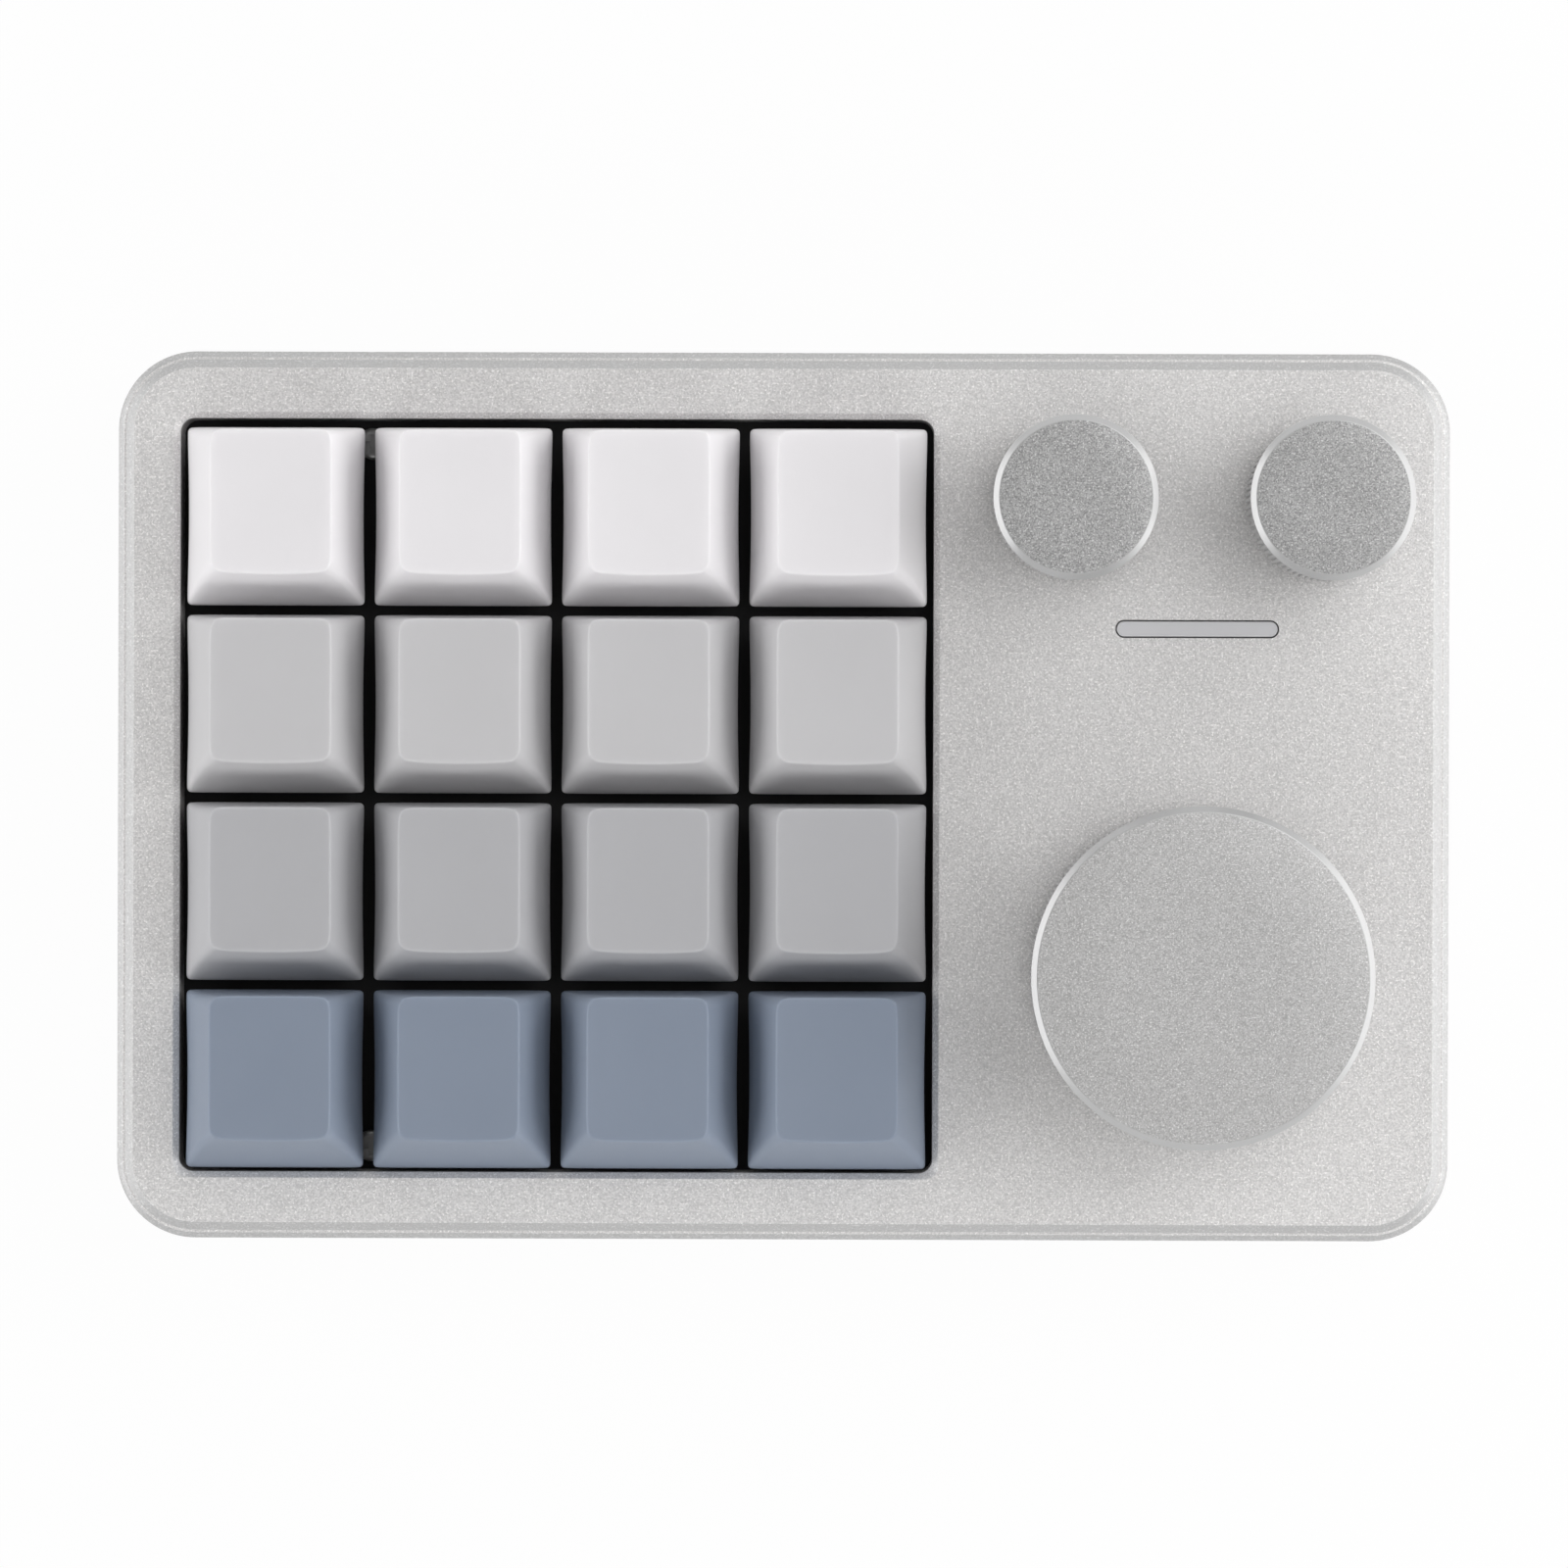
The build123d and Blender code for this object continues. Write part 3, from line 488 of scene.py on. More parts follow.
case = rounded_block("case_shell", case_low, (case_high.x, case_high.y, rim_z), case_corner, steps=24)
edit(case)
pick("FACE", lambda face: looks(face, (0, 0, 1)))
bpy.ops.mesh.inset(thickness=rim_chamfer, depth=rim_chamfer)
bpy.ops.mesh.inset(thickness=rim_ledge, depth=0)
bpy.ops.mesh.extrude_region_move(TRANSFORM_OT_translate={"value": (0, 0, rim_riser)})
bpy.ops.mesh.inset(thickness=rim_top_chamfer, depth=rim_top_chamfer)
done()
block_top = max(vertex.co.z for vertex in case.data.vertices)
print("case block:", len(case.data.polygons), "faces, top at", round(block_top / MM, 3), "mm")

# %% Case: key well, with its own chamfer
key_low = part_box("keycap_r4c1")[0]
key_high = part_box("keycap_r1c4")[1]
well_gap = 0.605 * MM
key_field_shift = -0.3 * MM
well_corner = 1.4 * MM
well_chamfer = 0.60 * MM
overshoot = 2.0 * MM
plate_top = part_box("key_plate")[1].z
well_low = Vector((key_low.x - well_gap, key_low.y - well_gap - key_field_shift, plate_top))
well_high = Vector((
    key_high.x + well_gap, key_high.y + well_gap - key_field_shift, case_high.z - well_chamfer
))

well = rounded_block("well_cutter", well_low, well_high, well_corner, steps=8)
edit(well)
pick("FACE", lambda face: looks(face, (0, 0, 1)))
flare = well_chamfer + overshoot
bpy.ops.mesh.extrude_region_move(TRANSFORM_OT_translate={"value": (0, 0, flare)})
well_size = well_high - well_low
bpy.ops.transform.resize(value=(1 + 2 * flare / well_size.x, 1 + 2 * flare / well_size.y, 1))
done()
cut(case, well)
print("well is", round(well_size.x / MM, 2), "mm square")

# %% Case: bays, holes, port and slot
wall = 4.5 * MM
bay_corner = 6.0 * MM
panel_thickness = 2.5 * MM
panel_underside = case_high.z - panel_thickness
divider = 3.0 * MM
bay_low = Vector((case_low.x + wall, case_low.y + wall, case_low.z - overshoot))
bay_high = Vector((case_high.x - wall, case_high.y - wall, plate_top))
cut(case, rounded_block("board_bay", bay_low, bay_high, bay_corner))

knob_bay_low = Vector((well_high.x + divider, bay_low.y, plate_top - overshoot))
knob_bay_high = Vector((bay_high.x, bay_high.y, panel_underside))
cut(case, rounded_block("knob_bay", knob_bay_low, knob_bay_high, bay_corner))

knob_names = ["back_left", "back_right", "front"]
hole_radius = 3.7 * MM
for knob_name in knob_names:
    low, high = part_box(f"encoder_shaft_{knob_name}")
    middle = (low + high) / 2
    cut(case, rod("bushing_hole", middle, hole_radius, panel_underside - overshoot, case_high.z + overshoot))

lens_low, lens_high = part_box("light_bar_lens")
lens_flange_margin = 1.4 * MM
slot_gap = 0.12 * MM
slot_low = Vector((
    lens_low.x + lens_flange_margin - slot_gap, lens_low.y + lens_flange_margin - slot_gap,
    panel_underside - overshoot,
))
slot_high = Vector((
    lens_high.x - lens_flange_margin + slot_gap, lens_high.y - lens_flange_margin + slot_gap,
    case_high.z + overshoot,
))
slot_round = 0.98
cut(case, rounded_block("slot_cutter", slot_low, slot_high, (slot_high.y - slot_low.y) / 2 * slot_round))

port_low, port_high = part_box("usb_c_socket")
port_centre = (port_low + port_high) / 2
recess_half = Vector((6.3, 3.5)) * MM
recess_depth = 1.8 * MM
recess_corner = 2.4 * MM


def back_cutter(name, half_length, half_height, radius, reach):
    """A rounded cutter that enters the back wall from behind."""
    cutter_low = (-half_length, -half_height, 0)
    cutter_high = (half_length, half_height, reach + overshoot)
    cutter = rounded_block(name, cutter_low, cutter_high, radius)
    cutter.rotation_euler = (math.radians(90), 0, 0)
    cutter.location = (port_centre.x, case_high.y + overshoot, port_centre.z)
    apply_place(cutter)
    return cutter


cut(case, back_cutter("plug_recess", recess_half.x, recess_half.y, recess_corner, recess_depth))
mouth_half = Vector((port_high.x - port_low.x, port_high.z - port_low.z)) / 2 + Vector((slot_gap, slot_gap))
cut(case, back_cutter("port_hole", mouth_half.x, mouth_half.y, mouth_half.y * slot_round, wall + overshoot))

screw_inset = 4.6 * MM
thread_radius = 1.02 * MM
thread_depth = 7.6 * MM
for side_x in (-1, 1):
    for side_y in (-1, 1):
        spot = (side_x * (case_high.x - screw_inset), side_y * (case_high.y - screw_inset))
        thread_top = case_low.z + thread_depth
        cut(case, rod("screw_hole", spot, thread_radius, case_low.z - overshoot, thread_top, sides=32))
print("case after cutting:", len(case.data.polygons), "faces")

# %% Case: soft edges and finish
soften(case, 0.05 * MM, segments=2)
smooth(case)
keep_flats(case)
dress(case, case_metal, painted_shade_chamfer_metal)
chamfer_lean = 0.35
flat_lean = 0.92
rim_slack = 0.1 * MM
well_middle = (well_low + well_high) / 2
well_reach = well_size / 2 + Vector((1, 1, 1)) * MM


def on_rim(centre):
    """True outside the key well."""
    away = centre - well_middle
    return abs(away.x) > well_reach.x or abs(away.y) > well_reach.y


def rim_chamfers(centre, normal):
    """True for the two sloping bands of the rim."""
    return chamfer_lean < normal.z < flat_lean and centre.z > rim_z - rim_slack and on_rim(centre)


# The rim chamfers take the darker copy of the metal, which is painted shade.
dress_faces(case, 1, rim_chamfers)
stand_for(case, "case", "case_aluminium", "top_case")
print("case shell stands for top_case,", len(case.data.polygons), "faces")

# %% [markdown]
# ## The bottom plate and the feet
#
# From below the keypad shows a flat plate set in by a hair, with a chamfer round its edge, a
# countersunk screw in each corner and four round feet. The plate is an inset and extrude job again.
# Each foot starts as a cylinder whose end gets a rounded edge and a shallow dimple, because a
# silicone foot shrinks a little in the middle as it cures.

# %% Bottom plate
plate_low, plate_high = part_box("bottom_plate")
bottom_chamfer = 0.8 * MM
plate_corner = 7.6 * MM
cover_low = (plate_low.x, plate_low.y, plate_low.z + bottom_chamfer)
cover_high = (plate_high.x, plate_high.y, case_low.z)
bottom = rounded_block("bottom_cover", cover_low, cover_high, plate_corner, steps=24)
edit(bottom)
pick("FACE", lambda face: looks(face, (0, 0, -1)))
bpy.ops.mesh.inset(thickness=bottom_chamfer, depth=bottom_chamfer)
done()

feet_low, feet_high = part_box("rubber_feet")
foot_radius = 5.0 * MM
foot_spots = [
    (x, y) for x in (feet_low.x + foot_radius, feet_high.x - foot_radius)
    for y in (feet_low.y + foot_radius, feet_high.y - foot_radius)
]
pocket_gap = 0.1 * MM
for spot in foot_spots:
    pocket_low = plate_low.z - overshoot
    cut(bottom, rod("foot_pocket", spot, foot_radius + pocket_gap, pocket_low, feet_high.z, sides=64))

screws_low, screws_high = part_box("case_screws")
head_radius = 1.9 * MM
head_gap = 0.04 * MM
head_cone = 0.85 * MM
cone_share = 0.58
shank_depth = 2.4 * MM
screw_spots = [
    (x, y) for x in (screws_low.x + head_radius, screws_high.x - head_radius)
    for y in (screws_low.y + head_radius, screws_high.y - head_radius)
]
for spot in screw_spots:
    sink = rod("countersink", spot, head_radius + head_gap, plate_low.z - overshoot, plate_low.z, sides=48)
    edit(sink)
    pick("FACE", lambda face: looks(face, (0, 0, 1)))
    bpy.ops.mesh.extrude_region_move(TRANSFORM_OT_translate={"value": (0, 0, head_cone)})
    bpy.ops.transform.resize(value=(cone_share, cone_share, 1))
    bpy.ops.mesh.extrude_region_move(TRANSFORM_OT_translate={"value": (0, 0, shank_depth)})
    done()
    cut(bottom, sink)
soften(bottom, 0.05 * MM)
smooth(bottom)
keep_flats(bottom)
dress(bottom, case_metal, painted_shade_chamfer_metal)
# The bottom chamfer takes the darker copy too, as painted shade.
dress_faces(bottom, 1, lambda centre, normal: -flat_lean < normal.z < -chamfer_lean)
stand_for(bottom, "case", "case_aluminium", "bottom_plate")
print("bottom cover stands for bottom_plate,", len(bottom.data.polygons), "faces")

# %% Rubber feet
foot_edge = 0.4 * MM
foot_rim = 0.6 * MM
dimple_slope = 1.2 * MM
foot_dimple = 0.15 * MM
for number, spot in enumerate(foot_spots):
    foot = rod(f"foot_{number + 1}", spot, foot_radius, feet_low.z, feet_high.z, sides=96)
    edit(foot)
    pick("EDGE", lambda edge: all(near(v.co.z, feet_low.z) for v in edge.verts))
    bpy.ops.mesh.bevel(offset=foot_edge, segments=5, affect="EDGES")
    pick("FACE", lambda face: looks(face, (0, 0, -1)))
    bpy.ops.mesh.inset(thickness=foot_rim)
    bpy.ops.mesh.inset(thickness=dimple_slope, depth=-foot_dimple)
    done()
    face_out(foot)
    smooth(foot, 40)
    dress(foot, foot_rubber)
    stand_for(foot, "case", "foot_rubber", "rubber_feet")
print("made", len(foot_spots), "feet")

# %% [markdown]
# ## One keycap, sixteen times
#
# A keycap is a box that leans: its top is smaller than its skirt, set towards the back and scooped
# so that a fingertip finds it. A subdivision surface suits it well, because a coarse cage of
# four-sided faces gives smooth walls, and a second loop close to an edge decides how tight the edge
# is. The cage starts as a cube. Its upright edges are beveled, planes cut the rows of faces, each
# level is resized, and the rows of the top sink by the curve of a cylinder.

# %% Keycap: cage of the outside
skirt_low, skirt_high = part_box("keycap_r1c1")
skirt = skirt_high.x - skirt_low.x
cap_height = skirt_high.z - skirt_low.z
cap_top_length = 12.2 * MM
cap_top_width = 14.4 * MM
cap_top_shift = 1.45 * MM
cap_corner = 1.6 * MM
skirt_corner = 0.55 * MM
skirt_pinch = 0.17 * MM
dish_rim = 0.22 * MM
dish_depth = 0.55 * MM
wall_swell = 0.35 * MM
front_hollow = 0.12 * MM
half = skirt / 2


def slice_at(place, normal):
    """Cut a new loop through the whole open mesh."""
    bpy.ops.mesh.select_all(action="SELECT")
    bpy.ops.mesh.bisect(plane_co=place, plane_no=normal)


bpy.ops.mesh.primitive_cube_add(
    size=1, location=(0, 0, cap_height / 2), scale=(skirt, skirt, cap_height)
)
keycap = bpy.context.object
keycap.name = keycap.data.name = "keycap_pattern"
apply_place(keycap)
edit(keycap)
pick("EDGE", lambda edge: near(abs(edge.verts[0].co.z - edge.verts[1].co.z), cap_height))
bpy.ops.mesh.bevel(offset=cap_corner, segments=3, affect="EDGES")
column_lines = [half - cap_corner, 0.62 * (half - cap_corner), 0.31 * (half - cap_corner), 0]
row_lines = [half - cap_corner, 0.5 * (half - cap_corner), 0]
for line in column_lines:
    for side in (-1, 1) if line else (1,):
        slice_at((side * line, 0, 0), (1, 0, 0))
for line in row_lines:
    for side in (-1, 1) if line else (1,):
        slice_at((0, side * line, 0), (0, 1, 0))
levels = [0.45 * MM, 2.6 * MM, 5.3 * MM, cap_height - 0.75 * MM, cap_height - 0.25 * MM]
for level in levels:
    slice_at((0, 0, level), (0, 0, 1))
done()
print("cage:", len(keycap.data.polygons), "faces")

# %% Keycap: corners and pinched sides
edit(keycap)
for level in [0] + levels:
    share = level / cap_height
    shrink = (skirt_corner + (cap_corner - skirt_corner) * share) / cap_corner
    for corner in [(x, y) for x in (-half, half) for y in (-half, half)]:
        pick("VERT", lambda vertex: near(vertex.co.z, level)
             and abs(vertex.co.x - corner[0]) < 1.02 * cap_corner
             and abs(vertex.co.y - corner[1]) < 1.02 * cap_corner)
        bpy.ops.transform.resize(value=(shrink, shrink, 1), center_override=(*corner, level))
for line in row_lines[1:]:
    pinch = skirt_pinch * (1 - (line / half) ** 2)
    for side in (-1, 1):
        pick("VERT", lambda vertex: near(vertex.co.x, side * half) and near(abs(vertex.co.y), line)
             and vertex.co.z < levels[1] + 0.1 * MM)
        bpy.ops.transform.translate(value=(-side * pinch, 0, 0))
done()
print("corners go from", skirt_corner / MM, "mm at the skirt to", cap_corner / MM, "mm")

# %% Keycap: taper and lean
edit(keycap)
for level in levels + [cap_height]:
    share = level / cap_height
    bow = math.sin(math.pi * share)
    length = skirt + (cap_top_length - skirt) * share + 2 * wall_swell * bow
    width = skirt + (cap_top_width - skirt) * share - 2 * front_hollow * bow
    pick("VERT", lambda vertex: near(vertex.co.z, level))
    bpy.ops.transform.resize(value=(length / skirt, width / skirt, 1), center_override=(0, 0, level))
    bpy.ops.transform.translate(value=(0, cap_top_shift * share, 0))
done()
print("tapered to", round(cap_top_length / MM, 1), "by", round(cap_top_width / MM, 1), "mm at the top")

# %% Keycap: rim and scooped top
edit(keycap)
pick("FACE", lambda face: looks(face, (0, 0, 1)) and near(face.calc_center_median().z, cap_height))
bpy.ops.mesh.inset(thickness=dish_rim, use_boundary=True, use_even_offset=True)
bpy.ops.mesh.region_to_loop()
bpy.ops.transform.edge_crease(value=0.75)
top_half = cap_top_length / 2
front_lean = ((skirt - cap_top_width) / 2 + cap_top_shift) / cap_height
scoop_floor = cap_height - 1.0 * MM
column_slack = 0.001 * MM
front_edge = cap_top_shift - cap_top_width / 2 + 0.01 * MM
top_points = [vertex for vertex in bmesh.from_edit_mesh(keycap.data).verts if vertex.co.z > scoop_floor]
columns = sorted({round(abs(vertex.co.x), 7) for vertex in top_points})
for column in columns:
    drop = dish_depth * max(0.0, 1 - (column / top_half) ** 2)
    pick("VERT", lambda vertex: vertex.co.z > scoop_floor and near(abs(vertex.co.x), column, column_slack))
    bpy.ops.transform.translate(value=(0, 0, -drop))
    pick("VERT", lambda vertex: near(abs(vertex.co.x), column, column_slack)
         and vertex.co.z > scoop_floor - drop
         and vertex.co.y < front_edge)
    bpy.ops.transform.translate(value=(0, -drop * front_lean, 0))
done()
print("scooped along", len(columns), "columns")

# %% Keycap: hollow underside
cap_wall = 1.2 * MM
loop_gap = 0.25 * MM
roof_height = 6.2 * MM
roof_loop = 0.3 * MM
roof_shift = cap_top_shift * 0.72
edit(keycap)
pick("FACE", lambda face: looks(face, (0, 0, -1)))
bpy.ops.mesh.inset(thickness=loop_gap)
ring = half - loop_gap
for narrower in (cap_wall - loop_gap, cap_wall):
    share = (half - narrower) / ring
    bpy.ops.mesh.extrude_region_move()
    bpy.ops.transform.resize(value=(share, share, 1), center_override=(0, 0, 0))
    ring = half - narrower
bpy.ops.mesh.extrude_region_move(TRANSFORM_OT_translate={"value": (0, 0, roof_loop)})
roof_rise = roof_height - 0.6 * MM
bpy.ops.mesh.extrude_region_move(TRANSFORM_OT_translate={"value": (0, roof_shift, roof_rise)})
bpy.ops.transform.resize(value=(0.66, 0.80, 1))
bpy.ops.mesh.extrude_region_move(TRANSFORM_OT_translate={"value": (0, 0, roof_loop)})
bpy.ops.transform.resize(value=(0.94, 0.95, 1))
done()
surface = keycap.modifiers.new("surface", "SUBSURF")
surface.levels = surface.render_levels = 2
apply_modifiers(keycap)
face_out(keycap)
smooth(keycap, 60)
print("keycap pattern:", len(keycap.data.polygons), "faces")

# %% Keycap: the post that grips the switch
post_radius = 2.75 * MM
post_low = 1.1 * MM
cross_long = 4.06 * MM
cross_wide = 1.36 * MM
cross_thin = 1.16 * MM
cross_depth = 3.9 * MM
post = rod("cap_post", (0, 0), post_radius, post_low, roof_height + 0.2 * MM, sides=48)
for size_x, size_y in ((cross_long, cross_thin), (cross_wide, cross_long)):
    arm_low = (-size_x / 2, -size_y / 2, post_low - overshoot)
    arm_high = (size_x / 2, size_y / 2, post_low + cross_depth)
    cut(post, rounded_block("cross_arm", arm_low, arm_high, 0.1 * MM, steps=2))
soften(post, 0.06 * MM, segments=1)
only(keycap)
post.select_set(True)
bpy.context.view_layer.objects.active = keycap
bpy.ops.object.join()
print("post joined:", len(keycap.data.polygons), "faces")

# %% Keycap: sixteen copies in four tints
tint_slots = {"r1": "keycap_white", "r2": "keycap_light_grey", "r3": "keycap_grey", "r4": "keycap_blue_grey"}
key_names = [f"r{row}c{column}" for row in range(1, 5) for column in range(1, 5)]
for key_name in key_names:
    low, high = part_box(f"keycap_{key_name}")
    only(keycap)
    bpy.ops.object.duplicate(linked=False)
    copy = bpy.context.object
    copy.name = copy.data.name = f"cap_{key_name}"
    copy.location = ((low.x + high.x) / 2, (low.y + high.y) / 2, low.z)
    apply_place(copy)
    dress(copy, row_plastics[key_name[:2]])
    stand_for(copy, f"key_{key_name}", tint_slots[key_name[:2]], f"keycap_{key_name}")
bpy.data.objects.remove(keycap)
print("made", len(key_names), "keycaps")

# %% [markdown]
# ## The knobs
#
# A knob is turned on a lathe, so its profile is drawn once and spun round the axis. Its grip is then
# ribbed. Eighty and more ribs would be slow to place by hand, but the spin tool can also leave a
# copy at every step instead of a skin between them. One rib is modelled, and spin, with `dupli` on,
# sets it round the knob like a gear cutter's indexing head.


# %% Knob: profile spun into a body
def spun_body(name, centre, profile, steps=192):
    """Spin a profile of radius and height pairs round an upright axis."""
    bpy.ops.mesh.primitive_plane_add(size=1, location=(0, 0, 0))
    body = bpy.context.object
    body.name = body.data.name = name
    edit(body)
    bpy.ops.mesh.select_all(action="SELECT")
    bpy.ops.mesh.delete(type="VERT")
    mesh = bmesh.from_edit_mesh(body.data)
    points = [mesh.verts.new((centre.x + radius, centre.y, height)) for radius, height in profile]
    for first, second in zip(points, points[1:]):
        mesh.edges.new((first, second))
    bmesh.update_edit_mesh(body.data)
    bpy.ops.mesh.select_all(action="SELECT")
    bpy.ops.mesh.spin(steps=steps, angle=2 * math.pi, center=(centre.x, centre.y, 0), axis=(0, 0, 1))
    bpy.ops.mesh.select_all(action="SELECT")
    bpy.ops.mesh.remove_doubles(threshold=0.001 * MM)
    bpy.ops.mesh.normals_make_consistent(inside=False)
    done()
    return body


print("spun_body ready")


# %% Knob: ribs set round by spin
rib_share = 0.62


def rib_ring(name, centre, radius, low, high, count, depth):
    """A ring of straight ribs round an upright axis."""
    width = 2 * math.pi * radius / count * rib_share
    root = 0.25 * MM
    bpy.ops.mesh.primitive_cube_add(
        size=1, location=(centre.x + radius - (depth + root) / 2, centre.y, (low + high) / 2),
        scale=(depth + root, width, high - low),
    )
    rib = bpy.context.object
    rib.name = rib.data.name = name
    apply_place(rib)
    edit(rib)
    pick("EDGE", lambda edge: all(near(v.co.x, centre.x + radius) for v in edge.verts))
    bpy.ops.mesh.bevel(offset=depth * 0.55, segments=2, affect="EDGES")
    bpy.ops.mesh.select_all(action="SELECT")
    turn = 2 * math.pi * (count - 1) / count
    bpy.ops.mesh.spin(steps=count - 1, dupli=True, angle=turn, center=(centre.x, centre.y, 0), axis=(0, 0, 1))
    done()
    return rib


print("rib_ring ready")


# %% Knobs: the three of them
knob_chamfer = 0.58 * MM
knob_collar = 0.60 * MM
groove_width = 0.35 * MM
groove_depth = 0.35 * MM
grip_step = 0.18 * MM
rib_depth = 0.22 * MM
rib_pitch = 0.63 * MM
foot_chamfer = 0.4 * MM
bore_radius = 3.05 * MM
hub_radius = 7.0 * MM
skirt_wall = 3.2 * MM
hub_top = 11.0 * MM
large_knob_radius = 10 * MM
small_inner_share = 0.76
recess_depth_below = 3.4 * MM
shaft_clearance = 1.0 * MM
edge = 0.05 * MM
grub_height = 6.2 * MM
grub_radius = 1.53 * MM


def grub_hole(centre, radius, height):
    """A cutter that runs from a knob's axis out through its right side."""
    bpy.ops.mesh.primitive_cylinder_add(
        vertices=32, radius=grub_radius, depth=radius + overshoot, rotation=(0, math.radians(90), 0),
        location=(centre.x + (radius + overshoot) / 2, centre.y, height),
    )
    apply_place(bpy.context.object)
    return bpy.context.object


for knob_name in knob_names:
    low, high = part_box(f"knob_{knob_name}")
    centre = (low + high) / 2
    radius = (high.x - low.x) / 2
    shaft_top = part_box(f"encoder_shaft_{knob_name}")[1].z
    grip = radius - grip_step
    core = grip - rib_depth
    groove_top = high.z - knob_chamfer - knob_collar
    large = radius > large_knob_radius
    recess_top = low.z + recess_depth_below
    bore_top = shaft_top + shaft_clearance
    if large:
        inner = grip - skirt_wall
        hollow = [(hub_radius, recess_top), (hub_radius, low.z + hub_top), (inner, low.z + hub_top)]
    else:
        inner = radius * small_inner_share
        hollow = [(inner, recess_top)]
    profile = [
        (0, bore_top), (bore_radius, bore_top), (bore_radius, recess_top), *hollow, (inner, low.z),
        (core - foot_chamfer, low.z), (core, low.z + foot_chamfer), (core, groove_top - groove_width),
        (radius - groove_depth, groove_top - groove_width), (radius - groove_depth, groove_top),
        (radius - edge, groove_top), (radius, groove_top + edge),
        (radius, high.z - knob_chamfer - edge), (radius - edge / 2, high.z - knob_chamfer + edge / 2),
        (radius - knob_chamfer + edge / 2, high.z - edge / 2), (radius - knob_chamfer - edge, high.z),
        (radius * 0.5, high.z), (0, high.z),
    ]
    knob = spun_body(f"dial_{knob_name}", centre, profile)
    cut(knob, grub_hole(centre, radius, low.z + grub_height))
    disc_metal = large_knob_metal if large else small_knob_metal
    dress(knob, knob_grip_metal, disc_metal, knob_edge_metal)
    dress_faces(knob, 1, lambda place, normal: normal.z > 0.99 and near(place.z, high.z, edge * 0.6))
    dress_faces(knob, 2, lambda place, normal: 0.2 < normal.z < 0.98 and place.z > groove_top)
    smooth(knob, 25)
    rib_count = round(2 * math.pi * grip / rib_pitch)
    rib_low = low.z + foot_chamfer
    rib_high = groove_top - groove_width
    ribs = rib_ring(f"dial_ribs_{knob_name}", centre, grip, rib_low, rib_high, rib_count, rib_depth)
    cut(ribs, grub_hole(centre, radius, low.z + grub_height))
    dress(ribs, knob_grip_metal)
    smooth(ribs, 25)
    stand_for(knob, f"dial_{knob_name}", "knob_aluminium", f"knob_{knob_name}")
    stand_for(ribs, f"dial_{knob_name}", "knob_aluminium", f"knob_{knob_name}")
    print("knob", knob_name, "has", rib_count, "ribs")

# %% [markdown]
# ## The light bar
#
# The lens is a frosted strip that sits in its slot with a hair of play. It is a rounded block with a
# wider flange below the panel, and a soft edge that catches a thin line of light.

# %% Light bar lens
bar_low = Vector((lens_low.x + lens_flange_margin, lens_low.y + lens_flange_margin, panel_underside))
bar_high = Vector((lens_high.x - lens_flange_margin, lens_high.y - lens_flange_margin, lens_high.z))
lens = rounded_block("lens_bar", bar_low, bar_high, (bar_high.y - bar_low.y) / 2 * slot_round)
soften(lens, 0.12 * MM, segments=3)
flange = rounded_block("lens_flange", lens_low, (lens_high.x, lens_high.y, panel_underside),
                       (lens_high.y - lens_low.y) / 2 * slot_round)
only(lens)
flange.select_set(True)
bpy.context.view_layer.objects.active = lens
bpy.ops.object.join()
smooth(lens, 40)
keep_flats(lens)
dress(lens, lens_plastic)
stand_for(lens, "case", "lens_grey", "light_bar_lens")
bar_size = bar_high - bar_low
print("lens is", round(bar_size.x / MM, 2), "by", round(bar_size.y / MM, 2), "mm")

# %% [markdown]
# ## Coil springs
#
# Under every key stands a coil spring. Each is a rigid copy, and a rigid copy would stab through the
# slider when the key goes down. The coil itself is a small circle swept by the Screw modifier, which
# turns and climbs at the same time.

# %% Switch springs
springs_low, springs_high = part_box("switch_springs")
spring_outside = 2.2 * MM
spring_wire = 0.26 * MM
spring_turns = 8
spring_length = springs_high.z - springs_low.z

bpy.ops.mesh.primitive_circle_add(
    vertices=8, radius=spring_wire / 2, location=(spring_outside - spring_wire / 2, 0, spring_wire / 2),
    rotation=(math.radians(90), 0, 0),
)
spring = bpy.context.object
spring.name = spring.data.name = "spring_pattern"
apply_place(spring)
coil = spring.modifiers.new("coil", "SCREW")
coil.axis = "Z"
coil.iterations = spring_turns
coil.screw_offset = (spring_length - spring_wire) / spring_turns
coil.steps = coil.render_steps = 24
apply_modifiers(spring)
edit(spring)
bpy.ops.mesh.select_all(action="SELECT")
bpy.ops.mesh.fill_holes(sides=8)
done()
face_out(spring)
smooth(spring, 50)
dress(spring, steel)
for key_name in key_names:
    low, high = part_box(f"stem_{key_name}")
    only(spring)
    bpy.ops.object.duplicate(linked=False)
    copy = bpy.context.object
    copy.name = copy.data.name = f"spring_{key_name}"
    copy.location = ((low.x + high.x) / 2, (low.y + high.y) / 2, springs_low.z)
    apply_place(copy)
    stand_for(copy, "case", "spring_steel", "switch_springs")
    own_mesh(copy)
bpy.data.objects.remove(spring)
print("made", len(key_names), "springs of", round(spring_length / MM, 2), "mm")

# %% [markdown]
# ## The parts behind
#
# The plate, the switches, the board and the encoders keep their exact shapes. They only need their
# finishes, which matter where they show: in the gaps between the keys, through the port, and when
# a key or a knob is lifted off.

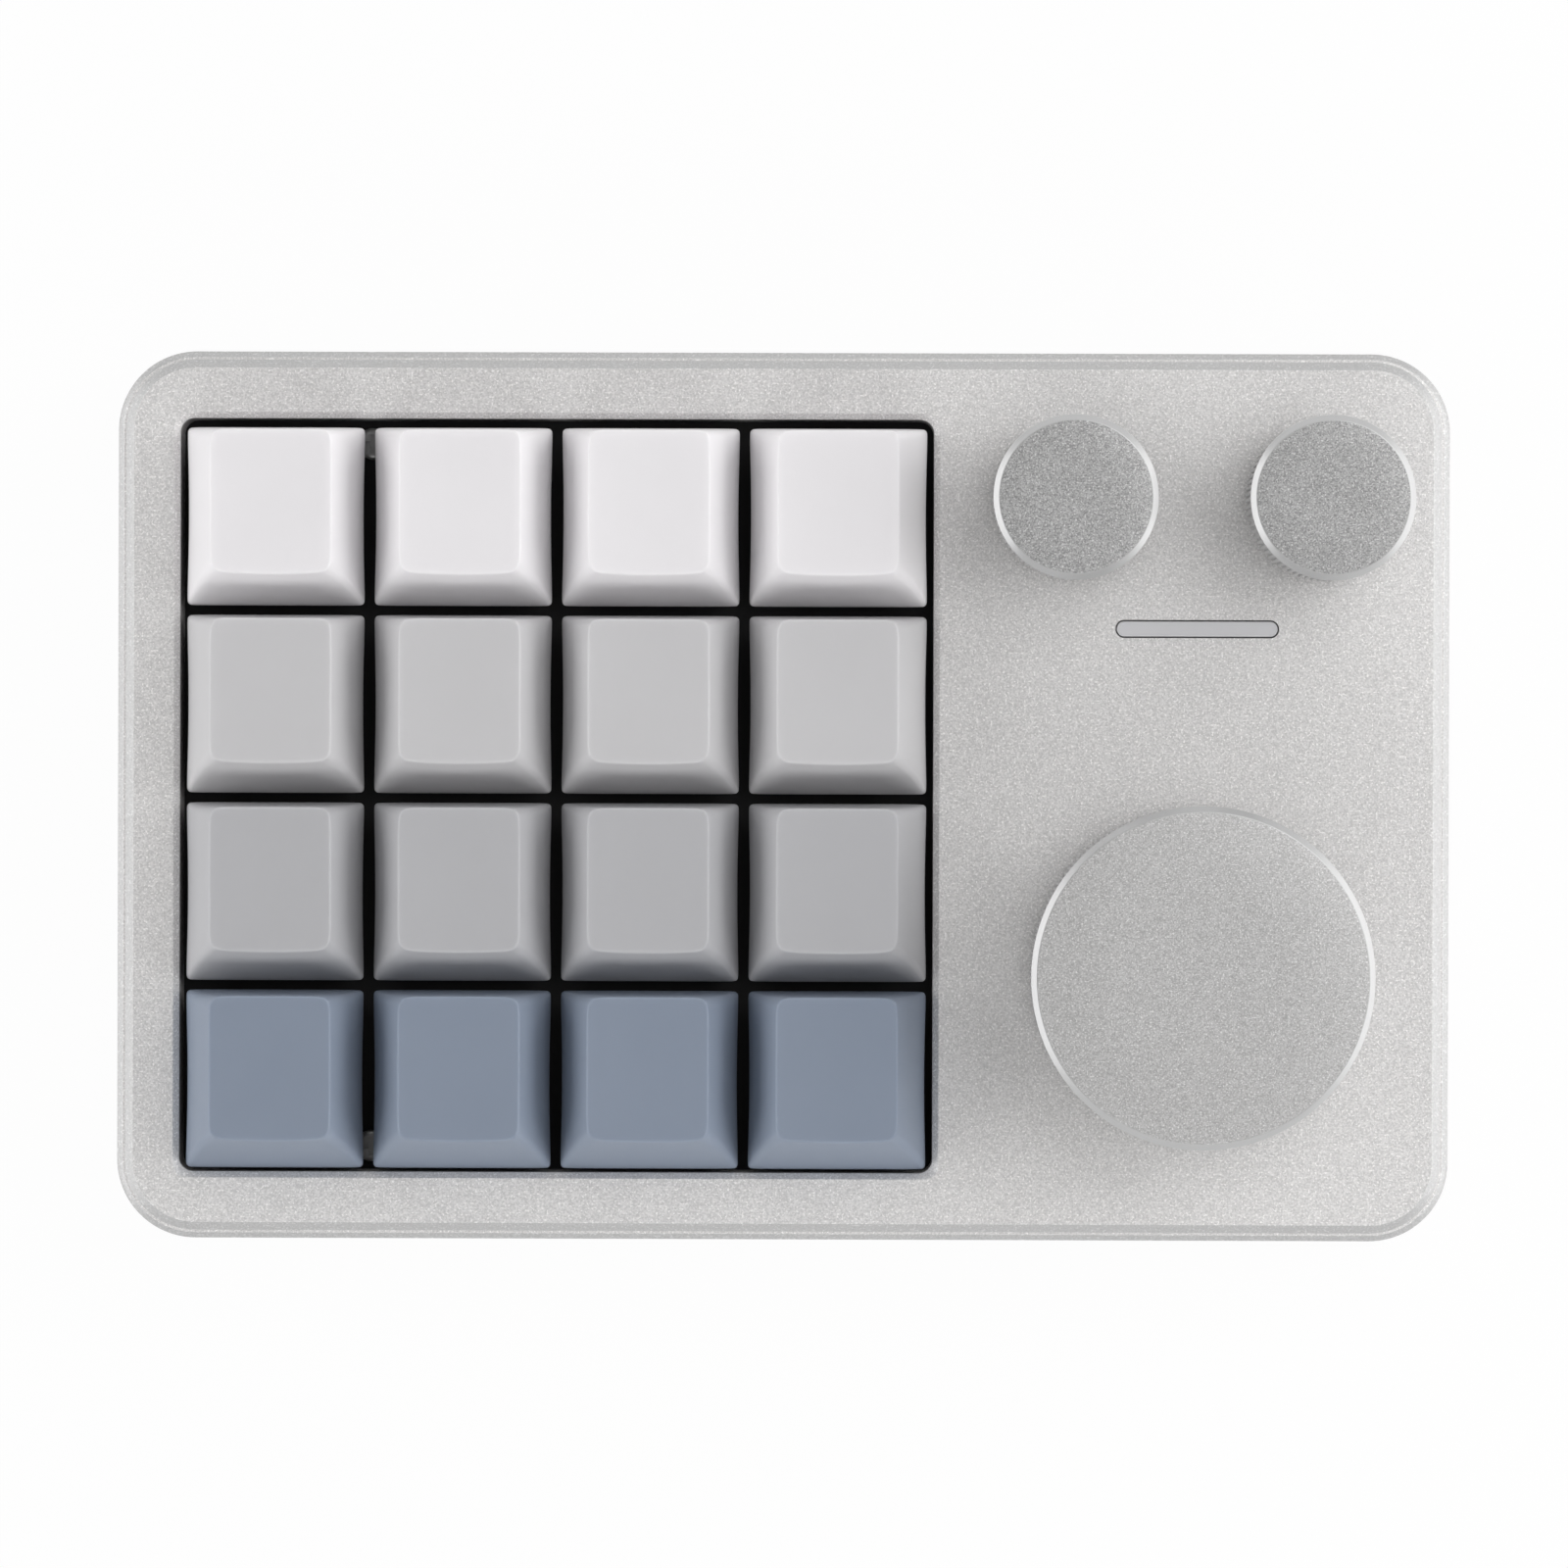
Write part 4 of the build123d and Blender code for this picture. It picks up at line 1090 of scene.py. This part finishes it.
# %% Finishes for the pieces that keep their shape
kept_finishes = {
    "brass_standoffs": brass,
    "case_screws": dark_steel,
    "pan_screws": steel,
    "key_plate": plate_paint,
    "circuit_board": board_mask,
    "board_parts": chip_plastic,
    "usb_c_socket": steel,
    "switch_lower_housings": black_plastic,
    "switch_upper_housings": black_plastic,
    "encoder_bases": chip_plastic,
    "encoder_bushings": steel,
}
for key_name in key_names:
    kept_finishes[f"stem_{key_name}"] = slider_plastic
for knob_name in knob_names:
    kept_finishes[f"encoder_shaft_{knob_name}"] = steel
    kept_finishes[f"encoder_rotor_{knob_name}"] = track_plastic
    kept_finishes[f"grub_screw_{knob_name}"] = dark_steel
for node_name, material in kept_finishes.items():
    nodes[node_name].data.materials.clear()
    nodes[node_name].data.materials.append(material)
print("finished", len(kept_finishes), "kept nodes")

# %% [markdown]
# ## Table, light and camera
#
# The keypad lies on white paper under a large soft lamp from the upper right, with white walls all
# round. The camera looks almost straight down from 0.8 m. To the camera the paper is nearly all
# glow, so that it stays white, and only a trace of the keypad's shadow is left on it.

# %% White table
paper_glow = 0.95
table_drop = 0.2 * MM


def white_paper(name):
    """Paper that a camera, a mirror or a lens sees as white, with a trace of shadow on it."""
    finish = Finish(name, roughness=0.9)
    fibre = finish.grain(0.8)
    finish.set("Base Color", finish.blend(fibre, grey(0.78), grey(0.80)))
    path = finish.tree.nodes.new("ShaderNodeLightPath")
    seen = Number(finish, path.outputs["Is Camera Ray"]) + Number(finish, path.outputs["Is Glossy Ray"])
    seen = seen + Number(finish, path.outputs["Is Transmission Ray"])
    glow = finish.node("ShaderNodeEmission", {"Color": (1, 1, 1, 1), "Strength": 1.0})
    base = Number(finish, finish.shader.outputs[0])
    share = finish.node("ShaderNodeMath", {0: seen * paper_glow, 1: paper_glow}, operation="MINIMUM")
    mixed = finish.node("ShaderNodeMixShader", {0: share, 1: base, 2: glow})
    finish.tree.links.new(mixed.socket, finish.tree.nodes["Material Output"].inputs["Surface"])
    return finish.material


bpy.ops.mesh.primitive_plane_add(size=4.0, location=(0, 0, -table_drop))
table = bpy.context.object
table.name = "table"
dress(table, white_paper("white_paper"))
print("table ready")

# %% Lamps and world
room_brightness = 0.20
world = bpy.data.worlds.new("white_room")
bpy.context.scene.world = world
world.use_nodes = True
room = world.node_tree.nodes["Background"]
room.inputs["Color"].default_value = (1, 1, 1, 1)
room.inputs["Strength"].default_value = room_brightness


def soft_box(name, azimuth, elevation, distance, width, height, brightness):
    """A rectangular soft box aimed at the keypad; brightness is what a facing white card shows."""
    lamp_data = bpy.data.lights.new(name, "AREA")
    lamp_data.shape = "RECTANGLE"
    lamp_data.size = width
    lamp_data.size_y = height
    lamp_data.energy = brightness * (math.pi * distance) ** 2
    lamp = bpy.data.objects.new(name, lamp_data)
    bpy.context.scene.collection.objects.link(lamp)
    turn = math.radians(azimuth)
    rise = math.radians(elevation)
    toward = Vector((math.cos(turn) * math.cos(rise), math.sin(turn) * math.cos(rise), math.sin(rise)))
    lamp.location = toward * distance
    lamp.rotation_euler = (-toward).to_track_quat("-Z", "Y").to_euler()


soft_box("key_lamp", azimuth=35, elevation=55, distance=0.6, width=0.40, height=0.40, brightness=0.24)
soft_box("left_wall", azimuth=180, elevation=22, distance=1.2, width=1.8, height=0.80, brightness=0.79)
soft_box("right_wall", azimuth=2, elevation=22, distance=0.7, width=1.05, height=0.46, brightness=0.84)
soft_box("front_wall", azimuth=-90, elevation=36, distance=1.0, width=1.2, height=0.5, brightness=0.42)
soft_box("back_wall", azimuth=90, elevation=26, distance=1.0, width=1.2, height=0.5, brightness=0.24)
print("five soft boxes and a white room")

# %% Camera
picture = 1600
pixels_per_mm = 10.05
camera_distance = 800 * MM
camera_spot = Vector((5.07, 5.25, 0)) * MM
aim_spot = Vector((0.09, 1.27, 0)) * MM
sensor = 36.0
focal_pixels = pixels_per_mm / MM * camera_distance
camera_data = bpy.data.cameras.new("camera")
camera_data.sensor_width = sensor
camera_data.lens = focal_pixels / picture * sensor
camera_data.clip_start = 0.05
camera = bpy.data.objects.new("camera", camera_data)
bpy.context.scene.collection.objects.link(camera)
camera.location = (camera_spot.x, camera_spot.y, case_high.z + camera_distance)
tilt_x = math.atan2(aim_spot.y - camera_spot.y, camera_distance)
tilt_y = -math.atan2(aim_spot.x - camera_spot.x, camera_distance)
roll = math.radians(0.17)
camera.rotation_euler = (tilt_x, tilt_y, roll)
bpy.context.scene.camera = camera
print("lens", round(camera_data.lens, 1), "mm")

# %% View settings
bpy.context.scene.view_settings.view_transform = "Standard"
